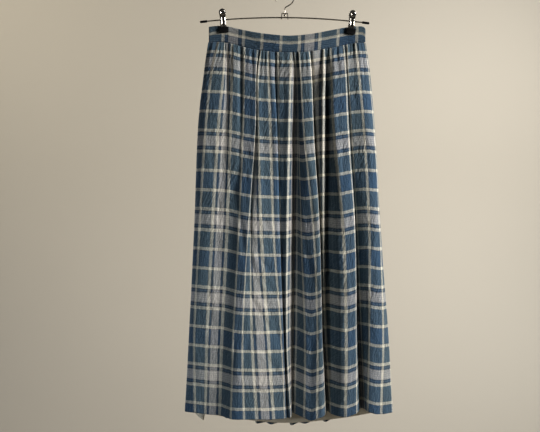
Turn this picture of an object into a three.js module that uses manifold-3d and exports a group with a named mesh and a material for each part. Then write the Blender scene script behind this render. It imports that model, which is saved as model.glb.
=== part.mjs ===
// A gathered dirndl skirt in plaid cotton, clipped at both ends of its waistband to a wire
// clip hanger. Millimetres, +Z up. The front faces -Y, and the wearer's right side is at -X.
// The origin is the point inside the top of the hook where the hanger bears on a rail.

import * as THREE from 'three';
import { mergeVertices } from 'three/addons/utils/BufferGeometryUtils.js';
import Module from 'manifold-3d';

const wasm = await Module();
wasm.setup();

// ---- driving dimensions ----

const GAP = 0.3;              // clearance where two pieces are sewn or seated together
const BAND_SEAM = 0.45;       // clearance below the waistband's slanting edge
const SHELL_WALL = 1.3;       // plaid cotton with its turnings
const LINING_WALL = 1.0;      // thin cotton lining
const BAND_WALL = 2.4;        // doubled, interfaced waistband
const SHELL_AT_BAND = 0.9;    // the plaid cloth leaves the band this far outside its middle
const LINING_AT_BAND = 0.7;   // and the lining this far inside it

const BAR_RADIUS = 1.5;
const BAR_LEFT = -181;
const BAR_RIGHT = 181;
const BAR_CENTRE_Z = -65.3;
const BAR_BOW = 3.15e-4;      // how far the ends of the bar drop, per millimetre squared
const BAR_TILT = 0.0076;      // the whole bar hangs a little lower at +X

const CAP_RADIUS = 2.7;
const CAP_LENGTH = 15;
const CAP_DEPTH = 8;          // how far the bar goes into its cap

const HOOK_WIRE_RADIUS = 1.3;
const HOOK_RADIUS = 21;       // of the wire's centre line
const HOOK_FROM_DEG = -50;
const HOOK_TO_DEG = 205;
const STEM_BASE_Z = -60.4;
const STEM_TOP_Z = -48;
const STEM_HEAD_RADIUS = 2.8;
const STEM_HEAD_HEIGHT = 1.5;

const SADDLE_HALF_WIDTH = 7.2;
const SADDLE_DEPTH = 9;
const SADDLE_SHEET = 1.6;
const SADDLE_TOP_Z = -57.2;
const SADDLE_FOOT_Z = -69.4;

const CLIP_X = { left: -136.6, right: 148.7 };
const CLIP_SHEET = 1.1;
const CLIP_TOP = 23.2;        // above the bar
const CLIP_HALF_TOP = 7.4;    // half widths: at the thumb plate, at the bar, and above the boot
const CLIP_HALF_WAIST = 5.9;
const CLIP_HALF_FOOT = 7.2;
const CLIP_RIB_RADIUS = 1.25;
const CLIP_RIB_SPREAD = 3.3;
const EAR_RADIUS = 4.2;
const BOOT_TOP = -16.3;       // of the rubber boot, below the bar
const BOOT_HEIGHT = 12.4;
const BOOT_WIDTH = 20.8;
const BOOT_DEPTH = 4.4;
const SPRING_WIRE_RADIUS = 0.6;
const SPRING_COIL_RADIUS = 3.2;
const SPRING_TURNS = 2.5;

// ---- tables ----

// The waistband's line: top and bottom edge, and how far it bellies out between the clips.
const BAND = [
  { x: -168, top: -85.4, bottom: -119.5, belly: 1.65 },
  { x: -147, top: -83.4, bottom: -119.1, belly: 1.65 },
  { x: -124, top: -85.2, bottom: -121.4, belly: 1.65 },
  { x: -99, top: -91.2, bottom: -128.0, belly: 4 },
  { x: -66, top: -98.0, bottom: -136.2, belly: 8 },
  { x: -28, top: -103.4, bottom: -141.2, belly: 11 },
  { x: 12, top: -106.2, bottom: -142.9, belly: 12 },
  { x: 56, top: -102.4, bottom: -140.6, belly: 11 },
  { x: 101, top: -93.8, bottom: -132.3, belly: 6 },
  { x: 136, top: -86.9, bottom: -125.2, belly: 1.65 },
  { x: 159, top: -84.5, bottom: -121.2, belly: 1.65 },
  { x: 179, top: -85.0, bottom: -120.8, belly: 1.65 },
];

// Heights at which the front panel's folds are set out, as shares of the way to the hem.
const FRONT_STATIONS = [0, 0.07, 0.22, 0.5, 0.78, 1];

// The front panel, a row for each fold line or warp stripe from one side seam to the other.
// cut: place across the flat cloth. x: where it hangs at each station. out: how far it
// stands forward of the skirt's middle, but at the waist only of the band. hem: its low end.
const FRONT = [
  { cut: -84, x: [-167, -172, -187, -196, -209, -218], out: [0, 0, 0, 0, 0, 0], hem: -944 },
  { cut: -70, x: [-168, -177, -191, -201, -213, -223], out: [0, 8, 13, 16, 18, 16], hem: -944 },
  { cut: -50, x: [-147, -160, -174, -189, -201, -200], out: [3, 15, 24, 27, 29, 27], hem: -944 },
  { cut: -19, x: [-133, -134, -146, -160, -172, -177], out: [1, 17, 26, 33, 36, 32], hem: -946 },
  { cut: 0, x: [-130, -128, -131, -144, -156, -161], out: [0, 12, 22, 33, 38, 34], hem: -947 },
  { cut: 19, x: [-116, -116, -119, -127, -138, -144], out: [3, 17, 27, 36, 40, 37], hem: -947 },
  { cut: 34, x: [-104, -105, -105, -114, -126, -132], out: [3, 19, 29, 39, 45, 46], hem: -949 },
  { cut: 42, x: [-98, -97, -98, -107, -119, -125], out: [0, 14, 27, 43, 50, 52], hem: -950 },
  { cut: 50, x: [-89, -90, -92, -101, -113, -119], out: [3, 19, 30, 47, 54, 57], hem: -951 },
  { cut: 67, x: [-75, -76, -77, -91, -104, -105], out: [3, 21, 32, 50, 57, 61], hem: -951 },
  { cut: 84, x: [-60, -63, -65, -81, -93, -90], out: [3, 23, 34, 52, 58, 60], hem: -951 },
  { cut: 118, x: [-57, -68, -70, -75, -70, -59], out: [0, 9, 16, 42, 56, 56], hem: -952 },
  { cut: 134, x: [-55, -63, -64, -68, -52, -42], out: [1, 13, 21, 46, 54, 54], hem: -953 },
  { cut: 153, x: [-53, -59, -58, -51, -36, -24], out: [3, 20, 31, 46, 51, 50], hem: -953 },
  { cut: 168, x: [-45, -48, -47, -37, -20, -11], out: [3, 19, 29, 43, 47, 47], hem: -953 },
  { cut: 184, x: [-36, -35, -31, -24, -7, 1], out: [3, 20, 30, 41, 44, 44], hem: -953 },
  { cut: 196, x: [-27, -25, -18, -12.5, -3.5, 3], out: [3, 20, 31, 39, 41, 42], hem: -953 },
  { cut: 207, x: [-21, -20, -16, -10, -2, 4], out: [0, 9, 14, 26, 30, 32], hem: -953 },
  { cut: 218, x: [-15, -15, -13.5, -9, -1, 4.5], out: [3, 17, 22, 28, 30, 30], hem: -953 },
  { cut: 234, x: [-1, -1, -2, -2, 2, 8], out: [3, 19, 27, 32, 34, 36], hem: -953 },
  { cut: 249, x: [14, 12, 9.5, 5.5, 4.5, 13.5], out: [3, 22, 30, 35, 37, 40], hem: -951 },
  { cut: 268, x: [18, 20, 20, 18, 16, 17], out: [0, 9, 11, 12, 13, 14], hem: -948 },
  { cut: 287, x: [22, 27, 28.5, 27.5, 26, 23], out: [3, 11, 13, 15, 18, 22], hem: -947 },
  { cut: 318, x: [25, 28, 31, 37, 45, 44], out: [0, 14, 22, 30, 36, 38], hem: -953 },
  { cut: 335, x: [28, 31, 36, 50, 59, 58], out: [1, 16, 27, 36, 40, 43], hem: -958 },
  { cut: 352, x: [31, 35, 42, 64, 72, 71], out: [3, 19, 30, 41, 45, 47], hem: -953 },
  { cut: 366, x: [43, 46, 53, 73, 80, 84], out: [3, 21, 31, 43, 46, 45], hem: -949 },
  { cut: 380, x: [53, 58, 63, 77, 83, 90], out: [3, 20, 28, 36, 40, 34], hem: -946 },
  { cut: 390, x: [56, 61, 66, 79, 85, 95], out: [0, 9, 10, 11, 12, 14], hem: -944 },
  { cut: 402, x: [67, 66, 69, 80, 87, 98], out: [3, 14, 16, 13, 12, 14], hem: -944 },
  { cut: 411, x: [78, 76, 76, 82, 89, 100], out: [0, 16, 25, 20, 16, 17], hem: -945 },
  { cut: 421, x: [86, 86, 85, 86, 92, 103], out: [3, 22, 32, 26, 19, 22], hem: -946 },
  { cut: 428, x: [90, 91, 93, 95, 99, 107], out: [1, 9, 9, 11, 13, 33], hem: -946 },
  { cut: 440, x: [96, 98, 99, 112, 119, 120], out: [1, 10, 12, 40, 46, 46], hem: -947 },
  { cut: 452, x: [102, 103, 107, 129, 136, 135], out: [3, 20, 33, 45, 50, 49], hem: -948 },
  { cut: 469, x: [117, 118, 122, 141, 148, 147], out: [3, 22, 35, 47, 50, 48], hem: -946 },
  { cut: 486, x: [130, 134, 139, 154, 158, 160], out: [3, 22, 35, 47, 48, 44], hem: -942 },
  { cut: 520, x: [133, 136, 143, 157, 163, 171], out: [0, 7, 8, 8, 9, 11], hem: -938 },
  { cut: 555, x: [137, 139, 146, 161, 171, 180], out: [3, 16, 20, 20, 16, 17], hem: -938 },
  { cut: 570, x: [148, 148, 160, 172, 180, 182], out: [0, 14, 22, 29, 28, 26], hem: -938 },
  { cut: 586, x: [157, 163, 174, 187, 187, 185], out: [3, 16, 25, 34, 37, 36], hem: -939 },
  { cut: 603, x: [169, 175, 186, 200, 202, 200], out: [3, 14, 24, 34, 38, 38], hem: -944 },
  { cut: 620, x: [177, 185, 197, 210, 219, 215], out: [2, 8, 17, 26, 32, 32], hem: -946 },
  { cut: 636, x: [178, 187, 199, 213, 227, 229], out: [1, 5, 10, 14, 23, 26], hem: -946 },
  { cut: 651, x: [179, 188, 199, 213, 232, 243], out: [0, 3, 5, 7, 13, 14], hem: -946 },
  { cut: 664, x: [178, 185, 196, 209, 227, 238], out: [0, 0, 0, 0, 0, 0], hem: -946 },
];

const BACK_STATIONS = [0, 0.07, 0.22, 0.78, 1];

// The back panel in the same way, with out measured to the back.
const BACK = [
  { cut: 0, x: [-167, -172, -187, -209, -218], out: [0, 0, 0, 0, 0], hem: -946 },
  { cut: 14, x: [-168, -177, -191, -213, -223], out: [0, 5, 9, 12, 10], hem: -947 },
  { cut: 50, x: [-150, -157, -170, -190, -196], out: [3, 12, 22, 30, 30], hem: -950 },
  { cut: 82, x: [-139, -144, -158, -172, -176], out: [0, 6, 13, 18, 20], hem: -955 },
  { cut: 112, x: [-124, -128, -140, -152, -160], out: [3, 15, 27, 40, 44], hem: -962 },
  { cut: 136, x: [-112, -116, -124, -134, -142], out: [3, 14, 25, 38, 40], hem: -966 },
  { cut: 164, x: [-104, -108, -116, -126, -132], out: [0, 8, 12, 17, 18], hem: -968 },
  { cut: 190, x: [-90, -93, -100, -110, -116], out: [3, 17, 26, 38, 40], hem: -970 },
  { cut: 214, x: [-80, -82, -88, -97, -103], out: [0, 10, 15, 20, 24], hem: -973 },
  { cut: 240, x: [-64, -66, -72, -80, -86], out: [3, 20, 30, 44, 46], hem: -976 },
  { cut: 262, x: [-52, -54, -58, -64, -68], out: [3, 19, 28, 42, 44], hem: -979 },
  { cut: 290, x: [-46, -47, -52, -58, -62], out: [0, 9, 13, 16, 17], hem: -980 },
  { cut: 318, x: [-32, -33, -36, -40, -42], out: [3, 21, 28, 36, 36], hem: -982 },
  { cut: 342, x: [-22, -23, -26, -29, -30], out: [0, 12, 16, 22, 24], hem: -984 },
  { cut: 366, x: [-8, -8, -10, -10, -10], out: [3, 22, 31, 46, 48], hem: -985 },
  { cut: 392, x: [6, 6, 6, 8, 10], out: [3, 21, 29, 45, 48], hem: -985 },
  { cut: 420, x: [12, 12, 12, 15, 17], out: [0, 9, 13, 16, 17], hem: -984 },
  { cut: 448, x: [26, 26, 28, 32, 35], out: [3, 20, 27, 36, 38], hem: -983 },
  { cut: 470, x: [36, 37, 40, 44, 48], out: [0, 12, 16, 22, 24], hem: -982 },
  { cut: 494, x: [50, 51, 56, 62, 68], out: [3, 20, 29, 42, 44], hem: -980 },
  { cut: 516, x: [62, 64, 70, 79, 86], out: [3, 19, 27, 41, 43], hem: -978 },
  { cut: 544, x: [70, 72, 78, 87, 94], out: [0, 9, 13, 16, 17], hem: -976 },
  { cut: 570, x: [86, 88, 95, 106, 114], out: [3, 18, 27, 38, 40], hem: -973 },
  { cut: 592, x: [96, 98, 106, 119, 128], out: [0, 10, 15, 22, 24], hem: -970 },
  { cut: 616, x: [112, 115, 124, 140, 150], out: [3, 17, 28, 42, 42], hem: -966 },
  { cut: 638, x: [124, 128, 140, 158, 170], out: [3, 15, 25, 40, 40], hem: -962 },
  { cut: 664, x: [134, 138, 152, 172, 184], out: [0, 7, 13, 17, 18], hem: -958 },
  { cut: 694, x: [150, 156, 170, 192, 206], out: [3, 12, 20, 28, 30], hem: -953 },
  { cut: 720, x: [167, 174, 188, 214, 228], out: [2, 8, 15, 22, 24], hem: -950 },
  { cut: 736, x: [179, 187, 199, 232, 243], out: [0, 5, 8, 12, 12], hem: -948 },
  { cut: 748, x: [178, 185, 196, 227, 238], out: [0, 0, 0, 0, 0], hem: -946 },
];

// The linings, set out at three heights: share of the way down, left and right edge, and how
// far they stand off the skirt's middle at the edges and between them.
const LINING = [
  { share: 0.07, left: -163, right: 171, edge: 2.6, middle: 6 },
  { share: 0.3, left: -177, right: 185, edge: 3.4, middle: 9 },
  { share: 1, left: -204, right: 220, edge: 3.6, middle: 10 },
];

// The linings' hems: low edge at places across, where the front one drops in a soft corner.
const FRONT_LINING_HEM = { x: [-206, -198, -192, -182, -178, 0, 222], z: [-945, -952, -961, -961, -945, -944, -942] };
const BACK_LINING_HEM = { x: [-206, -120, 0, 120, 222], z: [-948, -964, -976, -966, -948] };

const SHELL_ROWS = [0, 0.03, 0.07, 0.13, 0.22, 0.33, 0.45, 0.57, 0.69, 0.8, 0.9, 1];
const LINING_ROWS = [0, 0.035, 0.07, 0.3, 0.6, 0.85, 1];
const SHELL_STEPS = 2;        // points for each row of a panel's table
const BAND_STEPS = 3;
const LINING_STEPS = 26;

// ---- finishes ----

const finish = (color, roughness, metalness) => ({ color, roughness, metalness });
const FINISHES = {
  plaid: finish(0x5b7289, 0.85, 0),
  lining: finish(0xcdc3aa, 0.8, 0),
  steel: finish(0xb9b6ae, 0.35, 1),
  rubber: finish(0x16171a, 0.7, 0),
};

const object = new THREE.Group();

function add(name, geometry, finishName, parent = object) {
  const mesh = new THREE.Mesh(geometry, new THREE.MeshStandardMaterial(FINISHES[finishName]));
  mesh.name = name;
  parent.add(mesh);
  return mesh;
}

// ---- curves ----

/** A smooth value at `at` through `values` given at rising `places`. */
function smoothAt(places, values, at) {
  const last = places.length - 1;
  let k = 0;
  while (k < last - 1 && at > places[k + 1]) k += 1;
  const span = places[k + 1] - places[k];
  const share = THREE.MathUtils.clamp((at - places[k]) / span, 0, 1);
  const slope = (i) => {
    const a = Math.max(i - 1, 0);
    const b = Math.min(i + 1, last);
    return (values[b] - values[a]) / (places[b] - places[a]);
  };
  const s2 = share * share;
  const s3 = s2 * share;
  return (2 * s3 - 3 * s2 + 1) * values[k] + (s3 - 2 * s2 + share) * span * slope(k)
    + (3 * s2 - 2 * s3) * values[k + 1] + (s3 - s2) * span * slope(k + 1);
}

const column = (table, key) => table.map((row) => row[key]);
const BAND_X = column(BAND, 'x');
const bandAt = (key, x) => smoothAt(BAND_X, column(BAND, key), x);
const barZ = (x) => BAR_CENTRE_Z - BAR_BOW * x * x - BAR_TILT * x;

// ---- cloth ----

/**
 * A closed cloth wall. Each row of `rows` is a list of points on the middle of the wall, at
 * one height, going to +X. `side` is -1 where the wall's face looks to the front, 1 to the back.
 * Where `turnsIn`, its side edges turn in to face the opposite panel's across Y = 0.
 */
function clothWall(rows, wall, side, turnsIn = false) {
  const across = rows[0].length;
  const positions = [];
  for (const row of rows) {
    for (let i = 0; i < across; i += 1) {
      const before = row[Math.max(i - 1, 0)];
      const after = row[Math.min(i + 1, across - 1)];
      const tangent = new THREE.Vector2(after.x - before.x, after.y - before.y).normalize();
      if (turnsIn && i === 0) tangent.set(0, side);
      if (turnsIn && i === across - 1) tangent.set(0, -side);
      const half = side * wall / 2;
      positions.push(row[i].x - tangent.y * half, row[i].y + tangent.x * half, row[i].z);
      positions.push(row[i].x + tangent.y * half, row[i].y - tangent.x * half, row[i].z);
    }
  }
  const index = [];
  const at = (r, i, inner) => 2 * (r * across + i) + inner;
  const quad = (a, b, c, d) => index.push(a, b, c, a, c, d);
  const lastRow = rows.length - 1;
  const lastPoint = across - 1;
  for (let r = 0; r < lastRow; r += 1) {
    for (let i = 0; i < lastPoint; i += 1) {
      quad(at(r, i, 0), at(r + 1, i, 0), at(r + 1, i + 1, 0), at(r, i + 1, 0));
      quad(at(r, i, 1), at(r, i + 1, 1), at(r + 1, i + 1, 1), at(r + 1, i, 1));
    }
    quad(at(r, 0, 0), at(r, 0, 1), at(r + 1, 0, 1), at(r + 1, 0, 0));
    quad(at(r, lastPoint, 0), at(r + 1, lastPoint, 0), at(r + 1, lastPoint, 1), at(r, lastPoint, 1));
  }
  for (let i = 0; i < lastPoint; i += 1) {
    quad(at(0, i, 0), at(0, i + 1, 0), at(0, i + 1, 1), at(0, i, 1));
    quad(at(lastRow, i, 0), at(lastRow, i, 1), at(lastRow, i + 1, 1), at(lastRow, i + 1, 0));
  }
  if (side > 0) index.reverse();
  const geometry = new THREE.BufferGeometry();
  geometry.setAttribute('position', new THREE.Float32BufferAttribute(positions, 3));
  geometry.setIndex(index);
  return geometry;
}

/** The line of a gathered panel at one share of the way from the band to the hem. */
function foldedLine(table, stations, side, share) {
  const stand = (row) => {
    const out = smoothAt(stations, row.out, share);
    const waist = bandAt('belly', row.x[0]) + SHELL_AT_BAND;
    return out + waist * Math.max(0, 1 - share / stations[1]);
  };
  const knots = table.map((row, k) => {
    const onSeam = k === 0 || k === table.length - 1;
    const out = onSeam ? GAP / 2 : stand(row);
    return new THREE.Vector3(smoothAt(stations, row.x, share), side * out, row.cut);
  });
  const curve = new THREE.CatmullRomCurve3(knots, false, 'centripetal');
  const steps = (table.length - 1) * SHELL_STEPS;
  const cuts = column(table, 'cut');
  return curve.getPoints(steps).map((point) => {
    const waistX = smoothAt(cuts, table.map((row) => row.x[0]), point.z);
    const top = bandAt('bottom', waistX) - BAND_SEAM;
    const hem = smoothAt(cuts, column(table, 'hem'), point.z);
    return new THREE.Vector3(point.x, point.y, THREE.MathUtils.lerp(top, hem, share));
  });
}

function panel(table, stations, side) {
  const rows = SHELL_ROWS.map((share) => foldedLine(table, stations, side, share));
  return clothWall(rows, SHELL_WALL, side, true);
}

function waistband(side, sag) {
  const steps = (BAND.length - 1) * BAND_STEPS;
  const line = (down) => {
    const points = [];
    for (let i = 0; i <= steps; i += 1) {
      const x = THREE.MathUtils.lerp(BAND_X[0], BAND_X[BAND.length - 1], i / steps);
      const drop = sag * Math.sin(Math.PI * i / steps) * down;
      const z = THREE.MathUtils.lerp(bandAt('top', x), bandAt('bottom', x), down);
      points.push(new THREE.Vector3(x, side * bandAt('belly', x), z - drop));
    }
    return points;
  };
  return clothWall([0, 0.5, 1].map(line), BAND_WALL, side);
}

/** A lining: it leaves the band just inside the plaid and then hangs almost flat. */
function lining(side, hemTable) {
  const shares = [0, ...column(LINING, 'share')];
  const across = (key, first) => (share) => smoothAt(shares, [first, ...column(LINING, key)], share);
  const left = across('left', BAND_X[0] + 2);
  const right = across('right', BAND_X[BAND.length - 1] - 2);
  const edge = across('edge', 0);
  const middle = across('middle', 0);
  const rows = LINING_ROWS.map((share) => {
    const points = [];
    for (let i = 0; i <= LINING_STEPS; i += 1) {
      const place = i / LINING_STEPS;
      const x = THREE.MathUtils.lerp(left(share), right(share), place);
      const waistX = THREE.MathUtils.lerp(left(0), right(0), place);
      const hemX = THREE.MathUtils.lerp(left(1), right(1), place);
      const atBand = (bandAt('belly', waistX) - LINING_AT_BAND) * Math.max(0, 1 - share / shares[1]);
      const hanging = THREE.MathUtils.lerp(edge(share), middle(share), Math.sin(Math.PI * place));
      const y = side * (atBand + hanging);
      const hem = smoothAt(hemTable.x, hemTable.z, hemX);
      const z = THREE.MathUtils.lerp(bandAt('bottom', waistX) - BAND_SEAM, hem, share);
      points.push(new THREE.Vector3(x, y, z));
    }
    return points;
  });
  return clothWall(rows, LINING_WALL, side);
}

const FRONT_SIDE = -1;
const BACK_SIDE = 1;

add('waistband_front', waistband(FRONT_SIDE, 0), 'plaid');
add('waistband_back', waistband(BACK_SIDE, 0), 'plaid');
add('panel_front', panel(FRONT, FRONT_STATIONS, FRONT_SIDE), 'plaid');
add('panel_back', panel(BACK, BACK_STATIONS, BACK_SIDE), 'plaid');
add('lining_front', lining(FRONT_SIDE, FRONT_LINING_HEM), 'lining');
add('lining_back', lining(BACK_SIDE, BACK_LINING_HEM), 'lining');

// ---- wire and sheet helpers ----

function solid(geometry) {
  const bare = geometry.clone();
  bare.deleteAttribute('normal');
  bare.deleteAttribute('uv');
  const merged = mergeVertices(bare, 1e-4);
  return new wasm.Manifold(new wasm.Mesh({
    numProp: 3,
    vertProperties: new Float32Array(merged.attributes.position.array),
    triVerts: new Uint32Array(merged.index.array),
  }));
}

function fromSolid(manifold) {
  const mesh = manifold.getMesh();
  const geometry = new THREE.BufferGeometry();
  geometry.setAttribute('position', new THREE.Float32BufferAttribute(mesh.vertProperties, 3));
  geometry.setIndex(Array.from(mesh.triVerts));
  return geometry;
}

function wire(points, radius, sides, steps) {
  const section = new THREE.Shape();
  for (let k = 0; k < sides; k += 1) {
    const turn = 2 * Math.PI * k / sides;
    const move = k === 0 ? 'moveTo' : 'lineTo';
    section[move](radius * Math.cos(turn), radius * Math.sin(turn));
  }
  const extrudePath = new THREE.CatmullRomCurve3(points);
  return new THREE.ExtrudeGeometry(section, { extrudePath, steps, bevelEnabled: false });
}

/** A straight rod from `from` to `to`. */
function rod(from, to, radius, sides = 16) {
  const geometry = new THREE.CylinderGeometry(radius, radius, from.distanceTo(to), sides);
  const along = new THREE.Vector3().subVectors(to, from).normalize();
  const turn = new THREE.Quaternion().setFromUnitVectors(new THREE.Vector3(0, 1, 0), along);
  const middle = new THREE.Vector3().addVectors(from, to).multiplyScalar(0.5);
  return geometry.applyQuaternion(turn).translate(middle.x, middle.y, middle.z);
}

/** An outline in X and Z given a thickness along Y, centred on Y = 0. */
function plateFacingFront(outline, depth) {
  const shape = new THREE.Shape(outline);
  const geometry = new THREE.ExtrudeGeometry(shape, { depth, bevelEnabled: false });
  return geometry.translate(0, 0, -depth / 2).rotateX(Math.PI / 2);
}

/** An outline in Y and Z given a thickness along X, centred on X = 0. */
function plateFacingSide(outline, depth) {
  const shape = new THREE.Shape(outline);
  const geometry = new THREE.ExtrudeGeometry(shape, { depth, bevelEnabled: false });
  geometry.translate(0, 0, -depth / 2);
  return geometry.applyMatrix4(new THREE.Matrix4().set(0, 0, 1, 0, 1, 0, 0, 0, 0, 1, 0, 0, 0, 0, 0, 1));
}

const v2 = (x, y) => new THREE.Vector2(x, y);
const v3 = (x, y, z) => new THREE.Vector3(x, y, z);

// ---- hanger ----

function bar() {
  const points = [];
  const spans = 8;
  for (let k = 0; k <= spans; k += 1) {
    const x = THREE.MathUtils.lerp(BAR_LEFT, BAR_RIGHT, k / spans);
    points.push(v3(x, 0, barZ(x)));
  }
  return wire(points, BAR_RADIUS, 12, 12);
}

/** A rubber cap on one end of the bar: a lathe turned about Y, then laid along the bar. */
function endCap(end) {
  const hole = BAR_RADIUS + GAP + 0.1;
  const profile = [
    v2(0, CAP_LENGTH),
    v2(CAP_RADIUS * 0.6, CAP_LENGTH - 0.4),
    v2(CAP_RADIUS, CAP_LENGTH - 1.8),
    v2(CAP_RADIUS, 0),
    v2(hole, 0),
    v2(hole, CAP_DEPTH + GAP),
    v2(0, CAP_DEPTH + GAP),
  ];
  const geometry = new THREE.LatheGeometry(profile.reverse(), 12);
  const barEnd = end < 0 ? BAR_LEFT : BAR_RIGHT;
  const slope = -2 * BAR_BOW * barEnd - BAR_TILT;
  const along = v3(1, 0, slope).multiplyScalar(end).normalize();
  geometry.applyQuaternion(new THREE.Quaternion().setFromUnitVectors(v3(0, 1, 0), along));
  const mouth = v3(barEnd, 0, barZ(barEnd)).addScaledVector(along, -CAP_DEPTH);
  return geometry.translate(mouth.x, mouth.y, mouth.z);
}

function hook() {
  const arcCentre = -(HOOK_RADIUS - HOOK_WIRE_RADIUS);
  const onArc = (degrees) => {
    const turn = THREE.MathUtils.degToRad(degrees);
    return v3(HOOK_RADIUS * Math.cos(turn), 0, arcCentre + HOOK_RADIUS * Math.sin(turn));
  };
  const start = onArc(HOOK_FROM_DEG);
  const lead = THREE.MathUtils.degToRad(HOOK_FROM_DEG + 90);
  const entry = v3(start.x - 7 * Math.cos(lead), 0, start.z - 7 * Math.sin(lead));
  const bend = new THREE.CubicBezierCurve3(v3(0, 0, STEM_TOP_Z), v3(0, 0, STEM_TOP_Z + 7), entry, start);
  const points = [v3(0, 0, STEM_BASE_Z), v3(0, 0, (STEM_BASE_Z + STEM_TOP_Z) / 2)];
  points.push(...bend.getPoints(4));
  const arcSteps = 12;
  for (let k = 1; k <= arcSteps; k += 1) {
    points.push(onArc(THREE.MathUtils.lerp(HOOK_FROM_DEG, HOOK_TO_DEG, k / arcSteps)));
  }
  const stem = solid(wire(points, HOOK_WIRE_RADIUS, 10, 36));
  const head = rod(v3(0, 0, STEM_BASE_Z - STEM_HEAD_HEIGHT), v3(0, 0, STEM_BASE_Z + 0.2), STEM_HEAD_RADIUS, 12);
  return fromSolid(stem.add(solid(head)));
}

/** The bent saddle that carries the hook over the bar, its legs pierced for the bar. */
function saddle() {
  const w = SADDLE_HALF_WIDTH;
  const s = SADDLE_SHEET;
  const outline = [
    v2(-w - 0.8, SADDLE_FOOT_Z), v2(-w, SADDLE_TOP_Z + 0.6), v2(-w + 1, SADDLE_TOP_Z + s),
    v2(w - 1, SADDLE_TOP_Z + s), v2(w, SADDLE_TOP_Z + 0.6), v2(w + 0.8, SADDLE_FOOT_Z),
    v2(w + 0.8 - s, SADDLE_FOOT_Z), v2(w - s, SADDLE_TOP_Z), v2(-w + s, SADDLE_TOP_Z),
    v2(-w - 0.8 + s, SADDLE_FOOT_Z),
  ];
  const body = solid(plateFacingFront(outline.reverse(), SADDLE_DEPTH));
  const reach = 2 * w;
  const barHole = solid(rod(v3(-reach, 0, barZ(-reach)), v3(reach, 0, barZ(reach)), BAR_RADIUS + GAP + 0.1, 12));
  const stemHole = solid(rod(v3(0, 0, SADDLE_TOP_Z - s), v3(0, 0, SADDLE_TOP_Z + 3 * s), HOOK_WIRE_RADIUS + GAP + 0.1, 12));
  return fromSolid(body.subtract(barHole).subtract(stemHole));
}

add('hanger_bar', bar(), 'steel');
add('hanger_hook', hook(), 'steel');
add('hanger_saddle', saddle(), 'steel');
add('hanger_cap_left', endCap(-1), 'rubber');
add('hanger_cap_right', endCap(1), 'rubber');

// ---- clips, each modelled with the bar's axis at its origin ----

const clothFace = BAND[0].belly + BAND_WALL / 2 + GAP;
const bootMiddle = clothFace + BOOT_DEPTH / 2;

/** The side view of a front jaw: distance forward of the bar, and height. */
const JAW_LINE = [
  [bootMiddle, BOOT_TOP + GAP], [bootMiddle + 1.6, -11], [bootMiddle + 1.4, -6], [bootMiddle + 0.6, 0],
  [bootMiddle + 1.6, 6], [bootMiddle + 4.2, 15], [bootMiddle + 4.6, CLIP_TOP],
];

function jaw(side, earX) {
  const near = JAW_LINE.map(([out, z]) => v2(side * (out - CLIP_SHEET / 2), z));
  const far = JAW_LINE.map(([out, z]) => v2(side * (out + CLIP_SHEET / 2), z)).reverse();
  const outline = side < 0 ? [...near, ...far] : [...near, ...far].reverse();
  const sheet = solid(plateFacingSide(outline, 2 * CLIP_HALF_TOP + 1));
  const front = new THREE.Shape();
  front.moveTo(-CLIP_HALF_FOOT, BOOT_TOP - 1);
  front.lineTo(-CLIP_HALF_WAIST, 1);
  front.lineTo(-CLIP_HALF_TOP, 12);
  front.absarc(0, CLIP_TOP - CLIP_HALF_TOP, CLIP_HALF_TOP, Math.PI, 0, true);
  front.lineTo(CLIP_HALF_TOP, 12);
  front.lineTo(CLIP_HALF_WAIST, 1);
  front.lineTo(CLIP_HALF_FOOT, BOOT_TOP - 1);
  const deep = 60;
  const blank = new THREE.ExtrudeGeometry(front, { depth: deep, bevelEnabled: false, curveSegments: 5 });
  blank.translate(0, 0, -deep / 2).rotateX(Math.PI / 2);
  let body = sheet.intersect(solid(blank));
  for (const spread of [-CLIP_RIB_SPREAD, 0.2]) {
    const low = JAW_LINE[1];
    const foot = JAW_LINE[0];
    const high = JAW_LINE[3];
    const face = CLIP_SHEET / 2;
    const at = ([out, z]) => v3(spread + 0.03 * z, side * (out + face), z);
    const rib = wire([at([foot[0], foot[1] + 0.6]), at(low), at(JAW_LINE[2]), at(high)], CLIP_RIB_RADIUS, 6, 5);
    body = body.add(solid(rib));
  }
  const earDepth = bootMiddle + 0.6;
  for (const x of [-earX, earX]) {
    const ear = new THREE.BoxGeometry(CLIP_SHEET, earDepth, 2 * EAR_RADIUS);
    ear.translate(x, side * earDepth / 2, 0);
    const lug = rod(v3(x - CLIP_SHEET / 2, 0, 0), v3(x + CLIP_SHEET / 2, 0, 0), EAR_RADIUS, 14);
    body = body.add(solid(ear)).add(solid(lug));
  }
  const pierced = body.subtract(solid(rod(v3(-20, 0, 0), v3(20, 0, 0), BAR_RADIUS + GAP + 0.1, 12)));
  return fromSolid(pierced);
}

/** The rubber boot on the jaw's end: a block with rounded corners and a softened front. */
function boot(side) {
  const half = BOOT_WIDTH / 2;
  const foot = BOOT_TOP - BOOT_HEIGHT;
  const round = 2.6;
  const shape = new THREE.Shape();
  shape.moveTo(-half + round, foot);
  shape.lineTo(half - round, foot);
  shape.absarc(half - round, foot + round, round, -Math.PI / 2, 0, false);
  shape.absarc(half - round, BOOT_TOP - round, round, 0, Math.PI / 2, false);
  shape.absarc(-half + round, BOOT_TOP - round, round, Math.PI / 2, Math.PI, false);
  shape.absarc(-half + round, foot + round, round, Math.PI, 1.5 * Math.PI, false);
  const bevel = 0.8;
  const geometry = new THREE.ExtrudeGeometry(shape, {
    depth: BOOT_DEPTH - 2 * bevel, bevelThickness: bevel, bevelSize: bevel, bevelOffset: -bevel,
    bevelSegments: 2, curveSegments: 2,
  });
  geometry.translate(0, 0, -(BOOT_DEPTH - 2 * bevel) / 2).rotateX(Math.PI / 2);
  return geometry.translate(0, side * bootMiddle, 0);
}

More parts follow.
